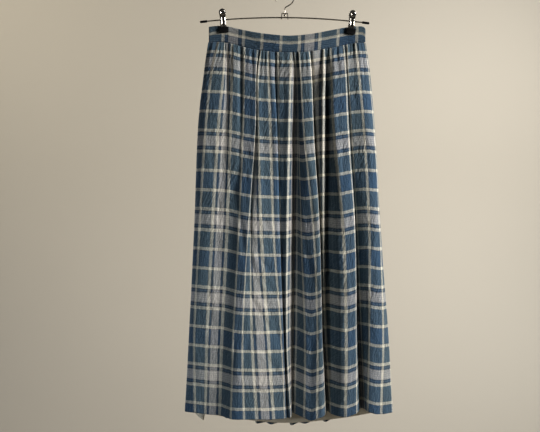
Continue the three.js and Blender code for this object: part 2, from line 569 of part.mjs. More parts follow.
/** The wire spring coiled about the bar between the ears, with an arm behind each thumb plate. */
function spring() {
  const coil = [];
  const perTurn = 8;
  const count = SPRING_TURNS * perTurn;
  const pitch = 2 * SPRING_WIRE_RADIUS + GAP;
  const width = SPRING_TURNS * pitch;
  const armTop = 10;
  const armOut = SPRING_COIL_RADIUS + 2.2;
  coil.push(v3(-width / 2, -armOut, armTop));
  for (let k = 0; k <= count; k += 1) {
    const turn = Math.PI - 2 * Math.PI * k / perTurn;
    const x = -width / 2 + width * k / count;
    coil.push(v3(x, SPRING_COIL_RADIUS * Math.cos(turn), -SPRING_COIL_RADIUS * Math.sin(turn)));
  }
  coil.push(v3(width / 2, armOut, armTop));
  return wire(coil, SPRING_WIRE_RADIUS, 5, 34);
}

function clip(name, x) {
  const group = new THREE.Group();
  group.position.set(x, 0, barZ(x));
  group.rotation.y = Math.atan(2 * BAR_BOW * x + BAR_TILT);
  object.add(group);
  const inner = CLIP_HALF_WAIST - CLIP_SHEET / 2 - CLIP_SHEET - GAP;
  add(`clip_${name}_jaw_front`, jaw(FRONT_SIDE, CLIP_HALF_WAIST - CLIP_SHEET / 2), 'steel', group);
  add(`clip_${name}_jaw_back`, jaw(BACK_SIDE, inner), 'steel', group);
  add(`clip_${name}_boot_front`, boot(FRONT_SIDE), 'rubber', group);
  add(`clip_${name}_boot_back`, boot(BACK_SIDE), 'rubber', group);
  add(`clip_${name}_spring`, spring(), 'steel', group);
}

clip('left', CLIP_X.left);
clip('right', CLIP_X.right);

export default object;
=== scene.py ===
"""A long gathered dirndl skirt in plaid cotton, clipped to a wire hanger.

The skirt hangs flat between two spring clips. Lengths in the tables are in millimetres, and
the meshes are in metres. The front faces -Y, and the origin is inside the top of the hook.
"""
import logging
import math
from dataclasses import dataclass
from enum import Enum
from typing import Any, Sequence

import bmesh
import bpy
import numpy as np
from mathutils import Matrix, Vector


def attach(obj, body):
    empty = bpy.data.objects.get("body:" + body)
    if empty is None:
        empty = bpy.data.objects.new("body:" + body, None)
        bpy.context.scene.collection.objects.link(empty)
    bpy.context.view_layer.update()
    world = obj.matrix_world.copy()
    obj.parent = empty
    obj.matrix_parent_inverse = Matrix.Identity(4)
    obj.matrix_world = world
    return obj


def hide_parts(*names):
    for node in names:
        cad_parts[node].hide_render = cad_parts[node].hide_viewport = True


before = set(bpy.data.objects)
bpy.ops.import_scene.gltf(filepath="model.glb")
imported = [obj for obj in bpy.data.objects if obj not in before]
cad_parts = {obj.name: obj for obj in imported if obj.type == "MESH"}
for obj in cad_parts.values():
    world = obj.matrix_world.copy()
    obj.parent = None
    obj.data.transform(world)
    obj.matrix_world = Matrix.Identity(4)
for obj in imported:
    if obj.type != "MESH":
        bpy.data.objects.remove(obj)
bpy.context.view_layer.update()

MM = 0.001
log = logging.getLogger("skirt")

Color = tuple[float, float, float, float]


class Side(Enum):
    """Which half of the skirt a piece belongs to, as the way it faces along Y."""

    FRONT = -1
    BACK = 1


# ---- the cut and the hang of the cloth ----

@dataclass(frozen=True)
class BandPlace:
    """One place along the waistband: its edges' heights and how far it bellies out."""

    x: float
    top: float
    bottom: float
    belly: float


# A row is a place's x, top, bottom and belly.
BAND_LINE = tuple(BandPlace(*row) for row in (
    (-168, -85.4, -119.5, 1.65),
    (-147, -83.4, -119.1, 1.65),
    (-124, -85.2, -121.4, 1.65),
    (-99, -91.2, -128.0, 4),
    (-66, -98.0, -136.2, 8),
    (-28, -103.4, -141.2, 11),
    (12, -106.2, -142.9, 12),
    (56, -102.4, -140.6, 11),
    (101, -93.8, -132.3, 6),
    (136, -86.9, -125.2, 1.65),
    (159, -84.5, -121.2, 1.65),
    (179, -85.0, -120.8, 1.65),
))


@dataclass(frozen=True)
class Fold:
    """A fold line or stripe of a panel: its place across the cut, and how it hangs."""

    cut: float
    x: tuple[float, ...]
    out: tuple[float, ...]
    hem: float


# Stations are shares of the way down. A row is a fold's cut, its x at each station, how far it
# stands out at each station, and the height of its low end.
FRONT_STATIONS = (0, 0.07, 0.22, 0.5, 0.78, 1)
FRONT_FOLDS = tuple(Fold(*row) for row in (
    (-84, (-167, -172, -187, -196, -209, -218), (0, 0, 0, 0, 0, 0), -944),
    (-70, (-168, -177, -191, -201, -213, -223), (0, 8, 13, 16, 18, 16), -944),
    (-50, (-147, -160, -174, -189, -201, -200), (3, 15, 24, 27, 29, 27), -944),
    (-19, (-133, -134, -146, -160, -172, -177), (1, 17, 26, 33, 36, 32), -946),
    (0, (-130, -128, -131, -144, -156, -161), (0, 12, 22, 33, 38, 34), -947),
    (19, (-116, -116, -119, -127, -138, -144), (3, 17, 27, 36, 40, 37), -947),
    (34, (-104, -105, -105, -114, -126, -132), (3, 19, 29, 39, 45, 46), -949),
    (42, (-98, -97, -98, -107, -119, -125), (0, 14, 27, 43, 50, 52), -950),
    (50, (-89, -90, -92, -101, -113, -119), (3, 19, 30, 47, 54, 57), -951),
    (67, (-75, -76, -77, -91, -104, -105), (3, 21, 32, 50, 57, 61), -951),
    (84, (-60, -63, -65, -81, -93, -90), (3, 23, 34, 52, 58, 60), -951),
    (118, (-57, -68, -70, -75, -70, -59), (0, 9, 16, 42, 56, 56), -952),
    (134, (-55, -63, -64, -68, -52, -42), (1, 13, 21, 46, 54, 54), -953),
    (153, (-53, -59, -58, -51, -36, -24), (3, 20, 31, 46, 51, 50), -953),
    (168, (-45, -48, -47, -37, -20, -11), (3, 19, 29, 43, 47, 47), -953),
    (184, (-36, -35, -31, -24, -7, 1), (3, 20, 30, 41, 44, 44), -953),
    (196, (-27, -25, -18, -12.5, -3.5, 3), (3, 20, 31, 39, 41, 42), -953),
    (207, (-21, -20, -16, -10, -2, 4), (0, 9, 14, 26, 30, 32), -953),
    (218, (-15, -15, -13.5, -9, -1, 4.5), (3, 17, 22, 28, 30, 30), -953),
    (234, (-1, -1, -2, -2, 2, 8), (3, 19, 27, 32, 34, 36), -953),
    (249, (14, 12, 9.5, 5.5, 4.5, 13.5), (3, 22, 30, 35, 37, 40), -951),
    (268, (18, 20, 20, 18, 16, 17), (0, 9, 11, 12, 13, 14), -948),
    (287, (22, 27, 28.5, 27.5, 26, 23), (3, 11, 13, 15, 18, 22), -947),
    (318, (25, 28, 31, 37, 45, 44), (0, 14, 22, 30, 36, 38), -953),
    (335, (28, 31, 36, 50, 59, 58), (1, 16, 27, 36, 40, 43), -958),
    (352, (31, 35, 42, 64, 72, 71), (3, 19, 30, 41, 45, 47), -953),
    (366, (43, 46, 53, 73, 80, 84), (3, 21, 31, 43, 46, 45), -949),
    (380, (53, 58, 63, 77, 83, 90), (3, 20, 28, 36, 40, 34), -946),
    (390, (56, 61, 66, 79, 85, 95), (0, 9, 10, 11, 12, 14), -944),
    (402, (67, 66, 69, 80, 87, 98), (3, 14, 16, 13, 12, 14), -944),
    (411, (78, 76, 76, 82, 89, 100), (0, 16, 25, 20, 16, 17), -945),
    (421, (86, 86, 85, 86, 92, 103), (3, 22, 32, 26, 19, 22), -946),
    (428, (90, 91, 93, 95, 99, 107), (1, 9, 9, 11, 13, 33), -946),
    (440, (96, 98, 99, 112, 119, 120), (1, 10, 12, 40, 46, 46), -947),
    (452, (102, 103, 107, 129, 136, 135), (3, 21, 35, 48, 52, 51), -948),
    (469, (117, 118, 122, 141, 148, 147), (3, 22, 35, 46, 49, 47), -946),
    (486, (130, 134, 139, 154, 158, 160), (3, 20, 31, 41, 43, 40), -942),
    (520, (133, 136, 143, 157, 163, 171), (0, 7, 8, 8, 9, 11), -938),
    (555, (137, 139, 146, 161, 171, 180), (3, 16, 20, 20, 16, 17), -938),
    (570, (148, 148, 160, 172, 180, 182), (0, 14, 22, 29, 28, 26), -938),
    (586, (157, 163, 174, 187, 187, 185), (3, 16, 25, 34, 37, 36), -939),
    (603, (169, 175, 186, 200, 202, 200), (3, 14, 24, 34, 38, 38), -944),
    (620, (177, 185, 197, 210, 219, 215), (2, 8, 17, 26, 32, 32), -946),
    (636, (178, 187, 199, 213, 227, 229), (1, 5, 10, 14, 23, 26), -946),
    (651, (179, 188, 199, 213, 232, 243), (0, 3, 5, 7, 13, 14), -946),
    (664, (178, 185, 196, 209, 227, 238), (0, 0, 0, 0, 0, 0), -946),
))

BACK_STATIONS = (0, 0.07, 0.22, 0.78, 1)
BACK_FOLDS = tuple(Fold(*row) for row in (
    (0, (-167, -172, -187, -209, -218), (0, 0, 0, 0, 0), -946),
    (14, (-168, -177, -191, -213, -223), (0, 5, 9, 12, 10), -947),
    (50, (-150, -157, -170, -190, -196), (3, 12, 22, 30, 30), -950),
    (82, (-139, -144, -158, -172, -176), (0, 6, 13, 18, 20), -955),
    (112, (-124, -128, -140, -152, -160), (3, 15, 27, 40, 44), -962),
    (136, (-112, -116, -124, -134, -142), (3, 14, 25, 38, 40), -966),
    (164, (-104, -108, -116, -126, -132), (0, 8, 12, 17, 18), -968),
    (190, (-90, -93, -100, -110, -116), (3, 17, 26, 38, 40), -970),
    (214, (-80, -82, -88, -97, -103), (0, 10, 15, 20, 24), -973),
    (240, (-64, -66, -72, -80, -86), (3, 20, 30, 44, 46), -976),
    (262, (-52, -54, -58, -64, -68), (3, 19, 28, 42, 44), -979),
    (290, (-46, -47, -52, -58, -62), (0, 9, 13, 16, 17), -980),
    (318, (-32, -33, -36, -40, -42), (3, 21, 28, 36, 36), -982),
    (342, (-22, -23, -26, -29, -30), (0, 12, 16, 22, 24), -984),
    (366, (-8, -8, -10, -10, -10), (3, 22, 31, 46, 48), -985),
    (392, (6, 6, 6, 8, 10), (3, 21, 29, 45, 48), -985),
    (420, (12, 12, 12, 15, 17), (0, 9, 13, 16, 17), -984),
    (448, (26, 26, 28, 32, 35), (3, 20, 27, 36, 38), -983),
    (470, (36, 37, 40, 44, 48), (0, 12, 16, 22, 24), -982),
    (494, (50, 51, 56, 62, 68), (3, 20, 29, 42, 44), -980),
    (516, (62, 64, 70, 79, 86), (3, 19, 27, 41, 43), -978),
    (544, (70, 72, 78, 87, 94), (0, 9, 13, 16, 17), -976),
    (570, (86, 88, 95, 106, 114), (3, 18, 27, 38, 40), -973),
    (592, (96, 98, 106, 119, 128), (0, 10, 15, 22, 24), -970),
    (616, (112, 115, 124, 140, 150), (3, 17, 28, 42, 42), -966),
    (638, (124, 128, 140, 158, 170), (3, 15, 25, 40, 40), -962),
    (664, (134, 138, 152, 172, 184), (0, 7, 13, 17, 18), -958),
    (694, (150, 156, 170, 192, 206), (3, 12, 20, 28, 30), -953),
    (720, (167, 174, 188, 214, 228), (2, 8, 15, 22, 24), -950),
    (736, (179, 187, 199, 232, 243), (0, 5, 8, 12, 12), -948),
    (748, (178, 185, 196, 227, 238), (0, 0, 0, 0, 0), -946),
))

# The linings' hems, as places across and heights; the front one drops in a soft corner.
FRONT_LINING_HEM = (
    (-206, -944), (-202, -946), (-184, -962), (-180, -961), (-178, -945), (0, -944),
    (150, -944), (172, -949), (200, -951), (214, -953), (222, -944),
)
BACK_LINING_HEM = ((-206, -948), (-120, -964), (0, -976), (120, -966), (222, -948))


@dataclass(frozen=True)
class LiningPlace:
    """The lining at one share of the way down: its edges and how far it stands off."""

    share: float
    left: float
    right: float
    edge: float
    middle: float


# A row is a place's share, left, right, edge and middle.
LINING_LINE = tuple(LiningPlace(*row) for row in (
    (0, -166, 177, 0, 0),
    (0.07, -163, 171, 2.6, 5.6),
    (0.3, -177, 185, 3.4, 7.4),
    (1, -204, 220, 3.6, 7.6),
))


@dataclass(frozen=True)
class Crease:
    """A soft trough laid in the cloth: where its middle is, its turn, size and depth."""

    cut: float
    down: float
    turn: float
    length: float
    width: float
    depth: float


# A row is a crease's cut, down, turn, length, width and depth. Turn is in degrees from straight
# down, positive where the low end swings to +X.
FRONT_CREASES = tuple(Crease(*row) for row in (
    (-30, 250, 12, 160, 9, 0.9),
    (30, 330, -14, 220, 10, 1.1),
    (64, 420, 18, 240, 11, 1.3),
    (92, 300, 24, 180, 9, 1.2),
    (128, 420, 26, 230, 10, 1.4),
    (150, 560, 20, 220, 10, 1.2),
    (176, 660, 14, 200, 12, 1.0),
    (108, 640, -16, 210, 11, 1.1),
    (52, 700, -10, 190, 12, 0.9),
    (-12, 600, 8, 240, 11, 0.9),
    (-52, 500, -6, 260, 12, 0.8),
    (146, 470, 34, 110, 7, 1.3),
    (168, 540, 38, 120, 7, 1.4),
    (140, 600, 30, 130, 8, 1.4),
    (172, 640, 36, 110, 6, 1.3),
    (150, 700, 32, 120, 7, 1.3),
    (178, 750, 28, 90, 6, 1.0),
    (160, 380, 28, 120, 7, 1.1),
    (0, 40, 2, 120, 5, 1.6),
    (34, 46, -4, 90, 5, 1.2),
    (72, 36, 3, 80, 5, 1.3),
    (160, 44, -5, 90, 5, 1.3),
    (240, 40, 4, 90, 5, 1.3),
    (328, 36, -3, 80, 5, 1.2),
    (470, 44, 5, 90, 6, 1.3),
    (604, 50, -4, 100, 6, 1.4),
    (262, 180, 4, 140, 8, 0.8),
    (326, 420, 10, 240, 10, 0.9),
    (344, 640, -8, 200, 11, 0.8),
    (372, 240, 6, 150, 8, 0.8),
    (462, 300, -9, 220, 10, 1.0),
    (478, 560, 12, 250, 11, 1.0),
    (446, 700, -12, 160, 10, 0.9),
    (588, 240, 7, 180, 9, 0.9),
    (604, 470, -10, 240, 11, 1.0),
    (630, 690, 14, 200, 12, 0.9),
))
BACK_CREASES = tuple(Crease(*row) for row in (
    (60, 300, -12, 220, 10, 1.0),
    (118, 560, 16, 240, 11, 1.1),
    (196, 380, 20, 200, 10, 1.1),
    (252, 620, -14, 220, 11, 1.0),
    (304, 260, 8, 160, 9, 0.8),
    (372, 480, 22, 240, 10, 1.2),
    (392, 680, -12, 200, 12, 0.9),
    (456, 340, -18, 210, 10, 1.1),
    (502, 600, 12, 230, 11, 1.0),
    (574, 300, 14, 200, 10, 1.0),
    (624, 560, -16, 240, 11, 1.1),
    (700, 420, 10, 220, 10, 0.9),
))


def smooth(places: Sequence[float], values: Sequence[float], at: Any) -> np.ndarray:
    """A smooth curve through values that stand at rising places.

    Args:
        places: where the values stand, rising.
        values: the values there.
        at: the place or places to read.

    Returns:
        The curve's value at each place asked for.
    """
    p, v, x = (np.asarray(a, float) for a in (places, values, at))
    slope = np.empty_like(v)
    slope[1:-1] = (v[2:] - v[:-2]) / (p[2:] - p[:-2])
    slope[0] = (v[1] - v[0]) / (p[1] - p[0])
    slope[-1] = (v[-1] - v[-2]) / (p[-1] - p[-2])
    k = np.clip(np.searchsorted(p, x, side="right") - 1, 0, len(p) - 2)
    span = p[k + 1] - p[k]
    s = np.clip((x - p[k]) / span, 0, 1)
    rise = (3 - 2 * s) * s * s
    bend = s * (1 - s) * span * ((1 - s) * slope[k] - s * slope[k + 1])
    return v[k] * (1 - rise) + v[k + 1] * rise + bend


def band_at(key: str, x: Any) -> np.ndarray:
    """One measure of the waistband's line at x."""
    return smooth([b.x for b in BAND_LINE], [getattr(b, key) for b in BAND_LINE], x)


def ease(low: float, high: float, at: Any) -> np.ndarray:
    """0 below low, 1 above high, and an S curve between."""
    s = np.clip((np.asarray(at, float) - low) / (high - low), 0, 1)
    return s * s * (3 - 2 * s)


# ---- meshes ----

@dataclass
class Patch:
    """A rectangular net of points on cloth, with its place on the flat cloth for each."""

    points: np.ndarray
    cloth: np.ndarray
    out: float

    def normals(self) -> np.ndarray:
        """The cloth's outward direction at each point."""
        across = np.gradient(self.points, axis=1)
        down = np.gradient(self.points, axis=0)
        normal = self.out * np.cross(across, down)
        return normal / np.maximum(np.linalg.norm(normal, axis=2, keepdims=True), 1e-9)

    def moved(self, by: np.ndarray) -> "Patch":
        """The same patch with each point moved out by its own distance."""
        return Patch(self.points + self.normals() * by[..., None], self.cloth, self.out)


def new_object(name: str, data: Any, material: bpy.types.Material | None = None) -> bpy.types.Object:
    """Puts a mesh, lamp or camera in the scene, a mesh with one material."""
    if material:
        data.materials.append(material)
    made = bpy.data.objects.new(name, data)
    bpy.context.collection.objects.link(made)
    return made


def finished(name: str, build: bmesh.types.BMesh, material: bpy.types.Material) -> bpy.types.Object:
    """Turns what was built into a piece, with its faces out."""
    bmesh.ops.recalc_face_normals(build, faces=build.faces)
    mesh = bpy.data.meshes.new(name)
    build.to_mesh(mesh)
    build.free()
    return new_object(name, mesh, material)


def lofted(name: str, rings: Sequence[Sequence[Sequence[float]]], material: bpy.types.Material,
           soft_ends: bool = False) -> bpy.types.Object:
    """A closed piece through rings of points in millimetres.

    Args:
        name: the piece's name.
        rings: the rings, each with as many points as the next.
        material: its finish.
        soft_ends: whether the two end faces are shaded smooth.

    Returns:
        The piece.
    """
    build = bmesh.new()
    loops = [[build.verts.new(np.asarray(point, float) * MM) for point in ring] for ring in rings]
    count = len(loops[0])
    for low, high in zip(loops, loops[1:]):
        for k in range(count):
            n = (k + 1) % count
            build.faces.new((low[k], low[n], high[n], high[k])).smooth = True
    for end in (loops[0][::-1], loops[-1]):
        build.faces.new(end).smooth = soft_ends
    return finished(name, build, material)


def cloth_shell(name: str, patch: Patch, wall: Any, material: bpy.types.Material) -> bpy.types.Object:
    """A closed shell of cloth.

    Args:
        name: the piece's name.
        patch: the middle of the wall, in millimetres.
        wall: its thickness, one number or one for each point.
        material: the cloth.

    Returns:
        The piece, with its place on the cloth in the UV map named cloth.
    """
    rows, columns = patch.points.shape[:2]
    half = patch.normals() * np.broadcast_to(np.asarray(wall, float) / 2, (rows, columns))[..., None]
    outer, inner = patch.points + half, patch.points - half
    points = np.concatenate([outer.reshape(-1, 3), inner.reshape(-1, 3)]) * MM
    index = np.arange(rows * columns).reshape(rows, columns)
    a, b = index[:-1, :-1].ravel(), index[1:, :-1].ravel()
    c, d = index[1:, 1:].ravel(), index[:-1, 1:].ravel()
    far = rows * columns
    walls = [np.stack([a, b, c, d], 1), np.stack([a, d, c, b], 1) + far]
    for edge, flip in ((index[:, 0], True), (index[:, -1], False), (index[0], False), (index[-1], True)):
        p, q = edge[:-1], edge[1:]
        rim = np.stack([p, q, q + far, p + far], 1)
        walls.append(rim[:, ::-1] if flip else rim)
    faces = np.concatenate(walls)
    if patch.out > 0:
        faces = faces[:, ::-1]
    mesh = bpy.data.meshes.new(name)
    mesh.vertices.add(len(points))
    mesh.vertices.foreach_set("co", points.astype(np.float32).ravel())
    mesh.loops.add(faces.size)
    mesh.loops.foreach_set("vertex_index", faces.ravel().astype(np.int32))
    mesh.polygons.add(len(faces))
    mesh.polygons.foreach_set("loop_start", np.arange(0, faces.size, 4, dtype=np.int32))
    mesh.update(calc_edges=True)
    mesh.polygons.foreach_set("use_smooth", np.ones(len(faces), bool))
    cloth = np.concatenate([patch.cloth.reshape(-1, 2)] * 2) * MM
    layer = mesh.uv_layers.new(name="cloth")
    layer.data.foreach_set("uv", cloth[faces.ravel()].astype(np.float32).ravel())
    mesh.validate()
    return new_object(name, mesh, material)


DOME_TURNS = (0.0, 0.35, 0.75, 1.15)  # of the rings in a wire's domed end, in radians


def tube(name: str, points: Sequence[Sequence[float]], radius: float, material: bpy.types.Material,
         sides: int = 16, steps: int = 8) -> bpy.types.Object:
    """A round wire with domed ends along a smooth line.

    Args:
        name: the piece's name.
        points: the line, in millimetres.
        radius: the wire's.
        material: its finish.
        sides: faces round the wire.
        steps: rings between two points of the line.

    Returns:
        The piece, closed.
    """
    line = np.asarray(points, float)
    place = np.arange(len(line))
    fine = np.linspace(0, len(line) - 1, (len(line) - 1) * steps + 1)
    path = np.stack([smooth(place, line[:, k], fine) for k in range(3)], 1)
    ways = np.gradient(path, axis=0)
    ways /= np.linalg.norm(ways, axis=1, keepdims=True)
    aside = np.cross(ways[0], (0, 1, 0) if abs(ways[0][1]) < 0.9 else (1, 0, 0))
    caps = [(math.sin(t), math.cos(t)) for t in DOME_TURNS]
    rings: list[tuple[np.ndarray, float, np.ndarray]] = []
    for sink, width in reversed(caps):
        rings.append((path[0] - ways[0] * radius * sink, radius * width, ways[0]))
    rings += [(path[k], radius, ways[k]) for k in range(1, len(path) - 1)]
    rings += [(path[-1] + ways[-1] * radius * sink, radius * width, ways[-1]) for sink, width in caps]
    turns = [2 * math.pi * k / sides for k in range(sides)]
    loops = []
    for middle, size, way in rings:
        aside = aside - way * np.dot(aside, way)
        aside /= np.linalg.norm(aside)
        other = np.cross(way, aside)
        loops.append([middle + size * (aside * math.cos(t) + other * math.sin(t)) for t in turns])
    return lofted(name, loops, material, soft_ends=True)


def joined(name: str, pieces: Sequence[bpy.types.Object]) -> bpy.types.Object:
    """Makes one piece of several closed ones."""
    build = bmesh.new()
    for piece in pieces:
        build.from_mesh(piece.data)
    whole = finished(name, build, pieces[0].data.materials[0])
    for piece in pieces:
        bpy.data.objects.remove(piece)
    return whole


# ---- shader building ----

class Value:
    """A number in a shader. Expressions on values add their Math nodes."""

    def __init__(self, shader: "Shader", socket: Any) -> None:
        """Wraps a socket of a shader's node."""
        self.shader = shader
        self.socket = socket

    def math(self, operation: str, *others: Any, first: Any = None) -> "Value":
        """One Math node on this value.

        Args:
            operation: the Math node's.
            *others: the values after this one.
            first: a value that comes before this one.

        Returns:
            The result.
        """
        terms = ([first] if first is not None else []) + [self, *others]
        inputs = dict(enumerate(terms))
        node = self.shader.node("ShaderNodeMath", {"operation": operation}, inputs)
        return Value(self.shader, node.outputs[0])

    def __add__(self, other: Any) -> "Value":
        """self + other."""
        return self.math("ADD", other)

    __radd__ = __add__

    def __sub__(self, other: Any) -> "Value":
        """self - other."""
        return self.math("SUBTRACT", other)

    def __rsub__(self, other: Any) -> "Value":
        """other - self."""
        return self.math("SUBTRACT", first=other)

    def __mul__(self, other: Any) -> "Value":
        """self * other."""
        return self.math("MULTIPLY", other)

    __rmul__ = __mul__

    def wave(self, pitch: float, phase: float = 0.0) -> "Value":
        """A sine of this length with the given pitch, from -1 to 1."""
        return (self * (2 * math.pi / pitch) + phase).math("SINE")

    def rises(self, low: float, high: float) -> "Value":
        """0 below low, 1 above high."""
        node = self.shader.node("ShaderNodeMapRange", {"interpolation_type": "SMOOTHSTEP"},
                                {"Value": self, "From Min": low, "From Max": high})
        return Value(self.shader, node.outputs[0])


class Shader:
    """A material and its node tree, built one node at a time."""

    def __init__(self, name: str) -> None:
        """Starts a material with one Principled shader."""
        self.material = bpy.data.materials.new(name)
        self.material.use_nodes = True
        self.tree = self.material.node_tree
        self.principled = self.tree.nodes["Principled BSDF"]

    def node(self, kind: str, settings: dict[str, Any] | None = None,
             inputs: dict[Any, Any] | None = None) -> bpy.types.Node:
        """Adds any node.

        Args:
            kind: the node's type.
            settings: its properties, set first.
            inputs: a value, a Value or a socket for each input, by name, identifier or place.

        Returns:
            The node.
        """
        made = self.tree.nodes.new(kind)
        for key, value in (settings or {}).items():
            setattr(made, key, value)
        for key, value in (inputs or {}).items():
            self.feed(self.find(made, key), value)
        return made

    @staticmethod
    def find(node: bpy.types.Node, key: Any) -> Any:
        """An input of a node by its place, identifier or name."""
        if isinstance(key, int):
            return node.inputs[key]
        named = [s for s in node.inputs if key in (s.identifier, s.name)]
        exact = [s for s in named if s.identifier == key]
        return (exact or named)[0]

    def feed(self, socket: Any, value: Any) -> None:
        """Links or sets one input."""
        if isinstance(value, Value):
            value = value.socket
        if isinstance(value, bpy.types.NodeSocket):
            self.tree.links.new(value, socket)
        else:
            socket.default_value = value

    def set(self, **values: Any) -> None:
        """Feeds inputs of the Principled shader, with _ for each space in their names."""
        for key, value in values.items():
            self.feed(self.principled.inputs[key.replace("_", " ")], value)

    def mix(self, share: Any, a: Any, b: Any) -> Any:
        """A colour from a to b."""
        node = self.node("ShaderNodeMix", {"data_type": "RGBA", "clamp_factor": True},
                         {"Factor_Float": share, "A_Color": a, "B_Color": b})
        return next(s for s in node.outputs if s.identifier == "Result_Color")

    def dim(self, color: Any, by: Value) -> Any:
        """A colour made lighter or darker by a number."""
        node = self.node("ShaderNodeVectorMath", {"operation": "SCALE"}, {"Vector": color, "Scale": by})
        return node.outputs[0]

    def noise(self, vector: Any, scale: float, detail: float = 2, roughness: float = 0.5) -> Value:
        """Noise of about 0 to 1 over a vector."""
        made = self.node("ShaderNodeTexNoise", None,
                         {"Vector": vector, "Scale": scale, "Detail": detail, "Roughness": roughness})
        return Value(self, made.outputs[0])

    def vector(self, x: Any, y: Any, z: Any = 0.0) -> Any:
        """A vector from three numbers."""
        return self.node("ShaderNodeCombineXYZ", None, {"X": x, "Y": y, "Z": z}).outputs[0]

    def bump(self, height: Value, distance: float, strength: float = 1.0) -> Any:
        """A normal from a height."""
        node = self.node("ShaderNodeBump", None,
                         {"Height": height, "Distance": distance, "Strength": strength})
        return node.outputs["Normal"]

    def cloth(self) -> tuple[Value, Value]:
        """The place on the flat cloth, in millimetres: along the weft, and along the warp."""
        uv = self.node("ShaderNodeUVMap", {"uv_map": "cloth"}).outputs[0]
        split = self.node("ShaderNodeSeparateXYZ", None, {"Vector": uv})
        return Value(self, split.outputs[0]) * 1000, Value(self, split.outputs[1]) * 1000

    def object_place(self) -> Any:
        """Object coordinates."""
        return self.node("ShaderNodeTexCoord").outputs["Object"]


def srgb(red: float, green: float, blue: float) -> Color:
    """A colour for a shader from 8-bit screen values."""
    def linear(c: float) -> float:
        """One channel, made linear."""
        c /= 255
        return c / 12.92 if c <= 0.04045 else ((c + 0.055) / 1.055) ** 2.4
    return (linear(red), linear(green), linear(blue), 1.0)


# ---- finishes ----

@dataclass(frozen=True)
class Stripe:
    """A run of threads: how far from the lavender stripe's middle it starts, and its colour."""

    start: float
    color: Color


LAVENDER = srgb(219, 213, 205)
NAVY = srgb(36, 53, 75)
CREAM = srgb(240, 234, 214)
GREY_BLUE = srgb(80, 101, 114)
BLUE = srgb(60, 89, 117)
DEEP_BLUE = srgb(37, 60, 87)
MID_BLUE = srgb(91, 111, 132)
PALE_BLUE = srgb(148, 167, 180)


@dataclass(frozen=True)
class PlaidCotton:
    """Yarn-dyed plaid cotton in plain weave, its stripes mirrored about the lavender ones.

    Sizes are in millimetres but for relief, the bump's depth in metres. pins, lines, slub, weave,
    wear, crinkled and crushed are how strong each effect is, and slant tilts the crushed ridges.
    """

    name: str = "plaid_cotton"
    # tone dims the whole cloth; the waistband's copy takes a lower tone as painted shade
    tone: float = 0.75
    warp_repeat: float = 134.0
    weft_repeat: float = 175.5
    thread: float = 0.62
    edge: float = 1.15
    pinstripe: float = 4.3
    pins: float = 0.28
    lines: float = 0.22
    waver: float = 3.0
    slub: float = 0.36
    weave: float = 0.36
    wear: float = 0.1
    crinkled: float = 0.9
    slant: float = 0.45
    crushed: float = 0.38
    relief: float = 0.0026
    warp: tuple[Stripe, ...] = (
        Stripe(0, LAVENDER), Stripe(9, NAVY), Stripe(14.9, CREAM), Stripe(22.4, GREY_BLUE),
        Stripe(46.6, CREAM), Stripe(52.6, BLUE),
    )
    weft: tuple[Stripe, ...] = (
        Stripe(0, LAVENDER), Stripe(11.2, NAVY), Stripe(14.7, MID_BLUE), Stripe(16.6, NAVY),
        Stripe(20.0, CREAM), Stripe(27.0, GREY_BLUE), Stripe(62.6, CREAM), Stripe(69.2, DEEP_BLUE),
        Stripe(70.9, BLUE),
    )

    def yarns(self, shader: Shader, at: Value, repeat: float, stripes: tuple[Stripe, ...]) -> Any:
        """The colour of the yarns that run one way.

        Args:
            shader: where the nodes go.
            at: the distance across those yarns.
            repeat: the pattern's full repeat.
            stripes: from the middle of the lavender stripe to the middle of the blue.

        Returns:
            A colour.
        """
        away = at.math("PINGPONG", repeat / 2)
        color: Any = stripes[0].color
        for stripe in stripes[1:]:
            reached = away.rises(stripe.start - self.edge, stripe.start + self.edge)
            color = shader.mix(reached, color, stripe.color)
        return color

    def make(self) -> bpy.types.Material:
        """The material."""
        shader = Shader(self.name)
        u, v = shader.cloth()
        drift = shader.vector(u, v)
        u = u + (shader.noise(drift, 0.09, 2) - 0.5) * self.waver
        v = v + (shader.noise(drift, 0.11, 2) - 0.5) * self.waver
        warp = self.yarns(shader, u, self.warp_repeat, self.warp)
        weft = self.yarns(shader, v, self.weft_repeat, self.weft)
        pins = u.wave(self.pinstripe).rises(0.1, 0.9) * self.pins
        warp = shader.mix(pins, warp, PALE_BLUE)
        lines = v.wave(self.pinstripe * 1.1).rises(0.2, 0.9) * self.lines
        weft = shader.mix(lines, weft, DEEP_BLUE)
        warp_slub = shader.noise(shader.vector(u, v * 0.02), 1.3, 1)
        weft_slub = shader.noise(shader.vector(u * 0.02, v), 1.3, 1)
        warp = shader.dim(warp, 1 - self.slub / 2 + warp_slub * self.slub)
        weft = shader.dim(weft, 1 - self.slub / 2 + weft_slub * self.slub)
        over = u.wave(2 * self.thread) * v.wave(2 * self.thread)
        cloth = shader.mix(0.5 + over * self.weave, weft, warp)
        worn = shader.noise(shader.vector(u, v), 0.035, 3)
        cloth = shader.dim(cloth, self.tone + worn * self.wear)
        crinkle = shader.noise(shader.vector(u, v * 0.35), 0.16, 3, 0.55)
        fine = shader.noise(shader.vector(u * 0.6, v), 0.5, 2)
        slanted = shader.vector(u + v * self.slant, (v - u * self.slant) * 0.22)
        crush = (shader.noise(slanted, 0.085, 3, 0.6) * 2 - 1).math("ABSOLUTE").rises(0.0, 0.22)
        where = shader.noise(drift, 0.012, 1).rises(0.36, 0.62)
        height = (crinkle * self.crinkled + fine * 0.3 + over * 0.02
                  + crush * (0.1 + where * self.crushed))
        shader.set(Base_Color=cloth, Roughness=0.84 + worn * self.wear,
                   Normal=shader.bump(height, self.relief), Specular_IOR_Level=0.25,
                   Sheen_Weight=0.12, Sheen_Roughness=0.5)
        return shader.material


